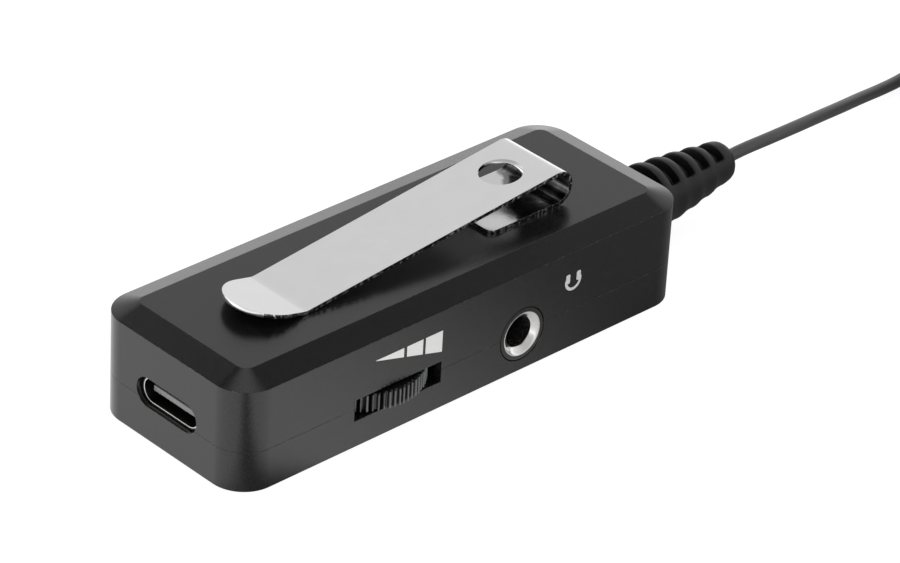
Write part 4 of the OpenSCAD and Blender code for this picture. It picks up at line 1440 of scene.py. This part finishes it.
class MICROPHONE_OT_cable_tie(Builder):
    """Models the woven strap that holds the coil."""

    bl_idname = "microphone.cable_tie"
    bl_label = "Cable tie"

    def build(self, settings):
        cable = settings.cable
        low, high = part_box("cable_tie")
        strap, width = cable.strap, cable.strap_width
        corner, inner_corner = 1.2 * MM, 0.8 * MM
        centre = (low + high) / 2
        end = high.x - 2 * strap
        outer = self.ring("cable_tie_woven", low.x, end, low.z, high.z, corner, width)
        left, right, bottom, top = low.x + strap, end - strap, low.z + strap, high.z - strap
        inner = self.ring("inner", left, right, bottom, top, inner_corner, 2 * width)
        combine(outer, inner)
        half_flap = (high.z - low.z) / 4
        flap = block(
            "flap",
            (end - strap / 2, -width / 2, centre.z - half_flap),
            (high.x, width / 2, centre.z + half_flap),
        )
        soften(flap, 0.25 * MM, segments=3, limit=40)
        piece = join([outer, flap], "cable_tie_woven")
        place(piece, spot(y=centre.y))
        soften(piece, 0.08 * MM, limit=40)
        complete(piece, "tie", replaces=["cable_tie"], slot="tie_fabric")

    @staticmethod
    def ring(name, left, right, low, high, radius, width):
        piece = cuboid(name, (left, -width / 2, low), (right, width / 2, high))
        pick("EDGE", lambda at, edge: abs(at.y) < NEAR)
        round_off(radius, 8)
        close_mesh()
        return piece


def on_head(settings):
    """Place of the microphone head: its barrel lies along local -X, its clip stands towards +Z."""
    end = lead_route(settings)[-1]
    turned_away = Matrix.Rotation(math.pi, 4, "Z") @ Matrix.Rotation(settings.head.roll, 4, "X")
    return spot(end.x + settings.head.boot, end.y, end.z) @ turned_away


def along_head(settings):
    """The same place for a piece that is turned round Z: z runs forwards, to the grille."""
    return on_head(settings) @ Matrix.Rotation(-math.pi / 2, 4, "Y")


class MICROPHONE_OT_head(Builder):
    """Models the microphone head: rubber boot, turned barrel and pierced grille."""

    bl_idname = "microphone.head"
    bl_label = "Microphone head"

    def build(self, settings):
        head, matrix = settings.head, along_head(settings)
        boot = turned("mic_boot_moulded", self.boot(head, settings.cable), sides=48)
        place(boot, matrix)
        complete(boot, "rubber", smooth=50, replaces=["mic_boot"], slot="black_rubber")

        barrel = turned("mic_barrel_turned", self.barrel(head), sides=96, closed=True)
        place(barrel, matrix)
        complete(
            barrel, "barrel", smooth=20, replaces=["mic_barrel"], slot="anodised_aluminium"
        )

        grille = turned("mic_grille_pierced", self.grille(head), sides=72, closed=True)
        hole_radius = 0.3 * MM
        for ring, number in ((1.2 * MM, 6), (2.1 * MM, 12), (2.9 * MM, 18)):
            for k in range(number):
                hole = rod("hole", hole_radius, head.length - 2 * MM, head.length + PAST, 12)
                turn = math.tau * k / number
                drill(grille, hole, spot(ring * math.cos(turn), ring * math.sin(turn)))
        place(grille, matrix)
        complete(
            grille, "nickel", smooth=25, replaces=["mic_grille"], slot="anodised_aluminium"
        )

    @staticmethod
    def boot(head, cable):
        """A thin sleeve on the cable with three ribs, and a plug in the barrel's bore."""
        wire = cable.diameter / 2
        sleeve = [(0.25, 0), (0.4, 0.2), (0.5, 1.2), (0.38, 1.35), (0.6, 1.5)]
        sleeve += [(0.75, 2.8), (0.63, 2.95), (0.85, 3.1)]
        profile = [(wire + out * MM, s * MM - head.boot) for out, s in sleeve]
        plug = 1.7 * MM
        profile += [(2 * MM, -0.2 * MM), (1.9 * MM, 0), (BARREL_BORE, 0)]
        profile += [(BARREL_BORE, head.wall), (plug, head.wall), (plug, head.wall + 0.6 * MM)]
        return profile

    @staticmethod
    def barrel(head):
        """An open can with a hole for the boot and a turned groove near its bevelled end."""
        outer, inner, end = head.barrel, head.barrel - head.wall, head.length
        groove = outer - 0.08 * MM
        return [
            (BARREL_BORE, 0),
            (outer - 0.3 * MM, 0),
            (outer, 0.3 * MM),
            (outer, 0.9 * MM),
            (groove, 0.98 * MM),
            (groove, 1.12 * MM),
            (outer, 1.2 * MM),
            (outer, end - 0.1 * MM),
            (outer - 0.1 * MM, end),
            (inner, end),
            (inner, head.wall),
            (BARREL_BORE, head.wall),
        ]

    @staticmethod
    def grille(head):
        """A flat cap with a rim that fits into the barrel."""
        outer, inner, end = head.barrel, head.barrel - head.wall, head.length
        top, rim, middle = end + GRILLE, end - 1 * MM, 0.4 * MM
        return [
            (inner, rim),
            (inner, end),
            (outer, end),
            (outer, top - 0.2 * MM),
            (outer - 0.2 * MM, top),
            (middle, top),
            (middle, end),
            (inner - 0.4 * MM, end),
            (inner - 0.4 * MM, rim),
        ]


class MICROPHONE_OT_windscreen(Builder):
    """Models the foam windscreen, whose open cells roughen its skin."""

    bl_idname = "microphone.windscreen"
    bl_label = "Foam windscreen"

    def build(self, settings):
        head = settings.head
        nose = head.length + GRILLE
        lip = head.clip_width + 0.3 * MM
        outer = head.foam - 0.12 * MM
        bore = head.barrel + 0.35 * MM
        bevel, rings = 0.5 * MM, 8
        profile = [(bore, lip), (outer - bevel, lip), (outer, lip + bevel)]
        profile += [(outer, lip + k * (nose - lip) / rings) for k in range(2, rings)]
        for degrees in range(0, 86, 5):
            turn = math.radians(degrees)
            profile.append((outer * math.cos(turn), nose + outer * math.sin(turn)))
        foam = turned("foam_windscreen_cells", profile, sides=72)
        combine(foam, rod("bore", bore, lip - PAST, nose + 0.3 * MM))
        modify(foam, "REMESH", mode="VOXEL", voxel_size=0.16 * MM)
        texture = bpy.data.textures.new("foam_cells", "CLOUDS")
        texture.noise_scale = 0.4 * MM
        modify(
            foam,
            "DISPLACE",
            texture=texture,
            texture_coords="LOCAL",
            strength=0.16 * MM,
            mid_level=0.6,
        )
        place(foam, along_head(settings))
        complete(
            foam,
            "foam",
            body="foam_windscreen",
            smooth=80,
            replaces=["foam_windscreen"],
            slot="foam",
        )


class MICROPHONE_OT_tie_clip(Builder):
    """Rounds the pressed edges of the tie clip and gives its spring its material."""

    bl_idname = "microphone.tie_clip"
    bl_label = "Tie clip"

    def build(self, settings):
        for node, body in (("tie_clip_ring", "housing"), ("tie_clip_jaw", "tie_clip_jaw")):
            piece = copied(node, node + "_pressed")
            soften(piece, 0.08 * MM, limit=30)
            complete(
                piece, "black_steel", body=body, smooth=35, replaces=[node], slot="black_plastic"
            )
        spring = copied("tie_clip_spring", "tie_clip_spring_wound")
        complete(
            spring,
            "spring_steel",
            body=None,
            smooth=70,
            replaces=["tie_clip_spring"],
            slot="clip_steel",
        )
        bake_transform(spring)


class MICROPHONE_OT_prints(Builder):
    """Prints the volume wedge and the headphone symbol on the side."""

    bl_idname = "microphone.prints"
    bl_label = "Printed symbols"

    def build(self, settings):
        prints, face = settings.prints, -settings.box.width / 2
        self.wedge(prints, face)
        self.headphones(prints, face)

    @staticmethod
    def wedge(prints, face):
        """A wedge in three parts that grows to the right."""
        # left and right end of each part in turn
        ends = [x * MM for x in (-13.66, -9.75, -9.33, -7.08, -6.71, -4.33)]
        slope = (prints.low_right - prints.low_left) / (ends[-1] - ends[0])
        low = prints.top - 1 * MM
        parts = []
        for begin, end in zip(ends[::2], ends[1::2]):
            piece = cuboid("part", (begin, face - prints.ink, low), (end, face, prints.top))
            for x in (begin, end):
                edge = prints.low_left + slope * (x - ends[0])
                pick("VERT", lambda at, vert: at.z < low + NEAR and abs(at.x - x) < NEAR)
                move(0, 0, edge - low)
            bpy.ops.object.mode_set(mode="OBJECT")
            parts.append(piece)
        complete(join(parts, "volume_wedge_print"), "ink")

    @staticmethod
    def headphones(prints, face):
        """A part of a ring for the band, with two ear pads inside its ends."""
        ink, radius, half_pad = prints.ink, prints.radius, prints.pad / 2
        # the band lies inside the pads' thickness, so that no two faces coincide
        band_depth, pad_depth = 0.8 * ink, 1.5 * ink
        opening = 0.4 * MM
        pad_low, pad_high = -0.2 * MM, 0.94 * MM
        centre = Vector((prints.place, face - band_depth, prints.middle))
        band = start(
            "band",
            bpy.ops.mesh.primitive_circle_add,
            vertices=48,
            radius=radius,
            location=centre,
            rotation=(math.pi / 2, 0, 0),
        )
        pick("VERT", lambda at, vert: at.z > centre.z + opening)
        bpy.ops.mesh.delete(type="VERT")
        bpy.ops.mesh.select_mode(type="EDGE")
        bpy.ops.mesh.select_all(action="SELECT")
        extrude()
        factor = (radius - prints.band) / radius
        stretch(factor, 1, factor, centre)
        close_mesh()
        modify(band, "SOLIDIFY", thickness=ink, offset=0)
        parts = [band]
        for side in (-1, 1):
            x = centre.x + side * (radius - 0.42 * MM)
            pad = cuboid(
                "pad",
                (x - half_pad, face - pad_depth, centre.z + pad_low),
                (x + half_pad, face, centre.z + pad_high),
            )
            pick("EDGE", lambda at, edge: abs(at.y - face + pad_depth / 2) < NEAR)
            round_off(0.2 * MM, 4)
            bpy.ops.object.mode_set(mode="OBJECT")
            parts.append(pad)
        complete(join(parts, "headphone_symbol_print"), "ink")


class MICROPHONE_OT_inner_parts(Builder):
    """Gives the parts that keep their construction shape their materials."""

    bl_idname = "microphone.inner_parts"
    bl_label = "Inner parts"

    def build(self, settings):
        finishes = {
            "black_steel": ("housing_screws", "volume_screw", "tie_clip_pin"),
            "board": ("circuit_board",),
            "gold": ("usb_contacts", "volume_wiper", "jack_contacts"),
            "laminate": ("volume_base",),
            "carbon": ("volume_track",),
            "chip": ("audio_chip", "amplifier_chip"),
            "nickel": ("crystal", "mic_element"),
            "ceramic": ("chip_components",),
            "jacket": ("cable_tail",),
            "wire": ("board_wires", "mic_wires"),
            "solder": ("solder_pads",),
        }
        for finish, nodes in finishes.items():
            for node in nodes:
                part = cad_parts[node]
                part.data.materials.clear()
                coat(part, finish)


class MICROPHONE_OT_soft_forms(Builder):
    bl_idname = "microphone.soft_forms"
    bl_label = "Cable and foam facts"

    def build(self, settings):
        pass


class MICROPHONE_OT_finishes(Builder):
    """Mixes the materials."""

    bl_idname = "microphone.finishes"
    bl_label = "Materials"

    def build(self, settings):
        finish = settings.finish
        materials.update(
            box=anodised_aluminium("anodised_aluminium_blasted", finish.anodised),
            worn=worn_edge("anodised_aluminium_worn_edge", finish.anodised),
            barrel=anodised_aluminium("anodised_aluminium_turned", finish.anodised, grit_mm=0.08),
            steel=polished_steel("spring_steel_polished", finish.steel),
            sheared=sheared_steel("spring_steel_sheared_edge", finish.steel),
            # the inside of the clip's bend is painted dark as shade from 16.5 mm on
            inside=steel_painted_shade_inside("spring_steel_painted_shade_inside", finish.steel, 16.5 * MM),
            nickel=bright_metal("brass_nickel_plated", "d6d4d0"),
            nickel_turned=bright_metal("brass_nickel_bright_turned", "f6f5f3"),
            # darker nickel that paints shade inside the port
            nickel_dull=bright_metal("brass_nickel_dulled_by_plugs", "3c3c3e", roughness=0.35),
            solder=bright_metal("solder_reflowed", "c8c8ca", roughness=0.3),
            gold=bright_metal("bronze_gold_plated", "e3bd6a"),
            spring_steel=bright_metal("spring_wire_drawn", "a8a8aa", roughness=0.25),
            black_steel=bright_metal("steel_black_oxide", "3a3a3c", roughness=0.35),
            tongue=moulded_plastic("nylon_grey_moulded", "8f8f90", roughness=0.35),
            # grey crests on the wheel's teeth: painted highlight
            wheel=acetal_painted_lit_crests(
                "acetal_black_painted_lit_crests",
                finish.wheel,
                linear("6c6c6d"),
                wheel_axis(settings),
                settings.wheel.radius,
            ),
            black_plastic=moulded_plastic("abs_black_moulded", "262627", roughness=0.35),
            chip=moulded_plastic("epoxy_chip_moulded", "202122"),
            ceramic=moulded_plastic("ceramic_fired", "a08a66"),
            laminate=moulded_plastic("phenolic_laminate_pressed", "6b4526"),
            carbon=moulded_plastic("carbon_track_printed", "161616", roughness=0.6),
            wire=moulded_plastic("wire_insulation_extruded", "a02018", roughness=0.35),
            rubber=soft_rubber("rubber_moulded", finish.rubber),
            jacket=extruded_jacket("pvc_jacket_extruded", finish.jacket),
            ink=screen_ink("white_ink_screen_printed", finish.print_ink),
            foam=open_foam("polyurethane_foam_open_celled", linear("1c1c1d")),
            tie=woven_tape("nylon_tape_woven", linear("1e1e20")),
            board=solder_mask("board_lacquered", "0f4a2a"),
        )


class MICROPHONE_OT_camera(Builder):
    """Sets up the camera."""

    bl_idname = "microphone.camera"
    bl_label = "Camera"

    def build(self, settings):
        stage = settings.stage
        camera = bpy.data.objects.new("camera", bpy.data.cameras.new("camera"))
        bpy.context.scene.collection.objects.link(camera)
        camera.matrix_world = (
            spot(*stage.place)
            @ Matrix.Rotation(-stage.heading, 4, "Z")
            @ Matrix.Rotation(math.pi / 2 - stage.elevation, 4, "X")
            @ Matrix.Rotation(stage.roll, 4, "Z")
        )
        camera.data.lens = stage.lens
        camera.data.clip_start = 0.01
        camera.data.clip_end = 100
        camera.data.dof.use_dof = False
        bpy.context.scene.camera = camera


class MICROPHONE_OT_stage(Builder):
    """Lays the floor and lights the room like a bright studio tent."""

    bl_idname = "microphone.stage"
    bl_label = "Floor and light"

    def build(self, settings):
        stage = settings.stage
        floor = start("floor", bpy.ops.mesh.primitive_plane_add, size=stage.floor)
        bpy.ops.object.mode_set(mode="OBJECT")
        floor.data.materials.append(self.paper(settings.finish.floor, stage))
        self.room(stage)
        bpy.context.scene.view_settings.view_transform = "Standard"

    @staticmethod
    def paper(base, stage):
        """Smooth white studio paper: dull, and lit until it reads white.

        What the object mirrors of it is graded: bright towards -X and behind the object, dim towards
        +X, and dark in a strip that runs towards the camera, a painted shadow of a black card that
        is not there.
        """
        material, tree, principled, place_of = new_material("studio_paper", Roughness=0.9)
        fibres = grain(tree, place_of, 3)
        tinted(tree, principled, fibres, scaled(base, 0.98), base)
        place_x = along(tree, place_of, (1, 0, 0))
        place_y = along(tree, place_of, (0, 1, 0))
        left, right = -22 * MM, 30 * MM  # between these the light in front of the box fades
        back, far = 12 * MM, 40 * MM  # between these the light behind it sets in
        end = 50 * MM  # there it has faded too
        front = spread(tree, place_x, 1.08, 0.12, left, right, smooth=True)
        behind = spread(tree, place_y, 0.0, 1.7, back, far, smooth=True)
        fading = spread(tree, place_x, 1.0, 0.68, 0.0, end, smooth=True)
        graded = maths(tree, "MAXIMUM", front, maths(tree, "MULTIPLY", behind, fading))
        # painted shadow: a strip of the floor's light is darkened as if a black card stood there; no
        # card is modelled
        across = along(tree, place_of, (math.cos(stage.heading), -math.sin(stage.heading), 0))
        off_card_shadow = maths(tree, "ABSOLUTE", maths(tree, "SUBTRACT", across, stage.card_shadow))
        core, rim = 0.5 * MM, 7 * MM  # half widths of the card's shadow, full and soft
        shaded = spread(tree, off_card_shadow, 0.15, 1.0, core, rim, smooth=True)
        mirrored = maths(tree, "MULTIPLY", graded, shaded)
        seen = add(tree, "ShaderNodeLightPath").outputs["Is Camera Ray"]
        white = 0.92
        light = add(tree, "ShaderNodeMix", {"Factor": seen, "A": mirrored}, B=white)
        principled.inputs["Emission Color"].default_value = (1, 1, 1, 1)
        tree.links.new(light.outputs["Result"], principled.inputs["Emission Strength"])
        return material

    @staticmethod
    def room(stage):
        """A white room, brightest low down behind the object, with one lamp in a dark ceiling."""
        world = bpy.data.worlds.new("studio_tent")
        bpy.context.scene.world = world
        world.use_nodes = True
        tree = world.node_tree
        tree.nodes.clear()
        direction = add(tree, "ShaderNodeTexCoord").outputs["Generated"]
        # both are cosines: 1 straight up, and 1 straight ahead
        height = along(tree, direction, (0, 0, 1))
        away = along(tree, direction, (math.sin(stage.heading), math.cos(stage.heading), 0))
        around = spread(tree, away, 0.6, 1.0, -0.4, 0.5)
        horizon = spread(tree, height, 1.6, 1.05, 0.0, 0.3)
        ceiling = spread(tree, height, 1.0, 0.03, 0.67, 0.79, smooth=True)
        lamp = spread(tree, height, 0.0, 1.5, 0.86, 0.96, smooth=True)
        light = maths(
            tree, "MULTIPLY_ADD", maths(tree, "MULTIPLY", around, horizon), ceiling, lamp
        )
        background = add(tree, "ShaderNodeBackground", {"Strength": light})
        add(tree, "ShaderNodeOutputWorld", {"Surface": background.outputs["Background"]})


# ---------------------------------------------------------------------------------------------
# Panel and main
# ---------------------------------------------------------------------------------------------

ORDER = (
    MICROPHONE_OT_camera,
    MICROPHONE_OT_finishes,
    MICROPHONE_OT_cable,
    MICROPHONE_OT_upper_shell,
    MICROPHONE_OT_lower_shell,
    MICROPHONE_OT_port,
    MICROPHONE_OT_thumbwheel,
    MICROPHONE_OT_socket,
    MICROPHONE_OT_belt_clip,
    MICROPHONE_OT_strain_relief,
    MICROPHONE_OT_prints,
    MICROPHONE_OT_cable_tie,
    MICROPHONE_OT_head,
    MICROPHONE_OT_windscreen,
    MICROPHONE_OT_tie_clip,
    MICROPHONE_OT_inner_parts,
    MICROPHONE_OT_soft_forms,
    MICROPHONE_OT_stage,
)


class MICROPHONE_PT_sidebar(bpy.types.Panel):
    """Sizes, colours and building steps of the microphone."""

    bl_label = "Lavalier microphone"
    bl_space_type = "VIEW_3D"
    bl_region_type = "UI"
    bl_category = "Microphone"

    def draw(self, context):
        settings = context.scene.microphone
        for operator in ORDER:
            self.layout.operator(operator.bl_idname)
        for group in GROUPS.values():
            box = self.layout.box()
            box.label(text=group[0])
            values = getattr(settings, group[1])
            for name in values.__annotations__:
                box.prop(values, name)


GROUPS = {
    BoxSizes: ("Box", "box"),
    PortSizes: ("USB-C port", "port"),
    WheelSizes: ("Volume thumbwheel", "wheel"),
    SocketSizes: ("Headphone socket", "socket"),
    ClipSizes: ("Belt clip", "clip"),
    ReliefSizes: ("Strain relief", "relief"),
    CableSizes: ("Cable", "cable"),
    HeadSizes: ("Microphone head", "head"),
    PrintSizes: ("Printed symbols", "prints"),
    StageSettings: ("Stage", "stage"),
    Finishes: ("Colours", "finish"),
}
CLASSES = (*GROUPS, MicrophoneSettings, *ORDER, MICROPHONE_PT_sidebar)


def register():
    for part in CLASSES:
        bpy.utils.register_class(part)
    bpy.types.Scene.microphone = PointerProperty(type=MicrophoneSettings)


def unregister():
    del bpy.types.Scene.microphone
    for part in reversed(CLASSES):
        bpy.utils.unregister_class(part)


def main():
    register()
    for operator in ORDER:
        group, name = operator.bl_idname.split(".")
        getattr(getattr(bpy.ops, group), name)()


if __name__ == "__main__":
    main()
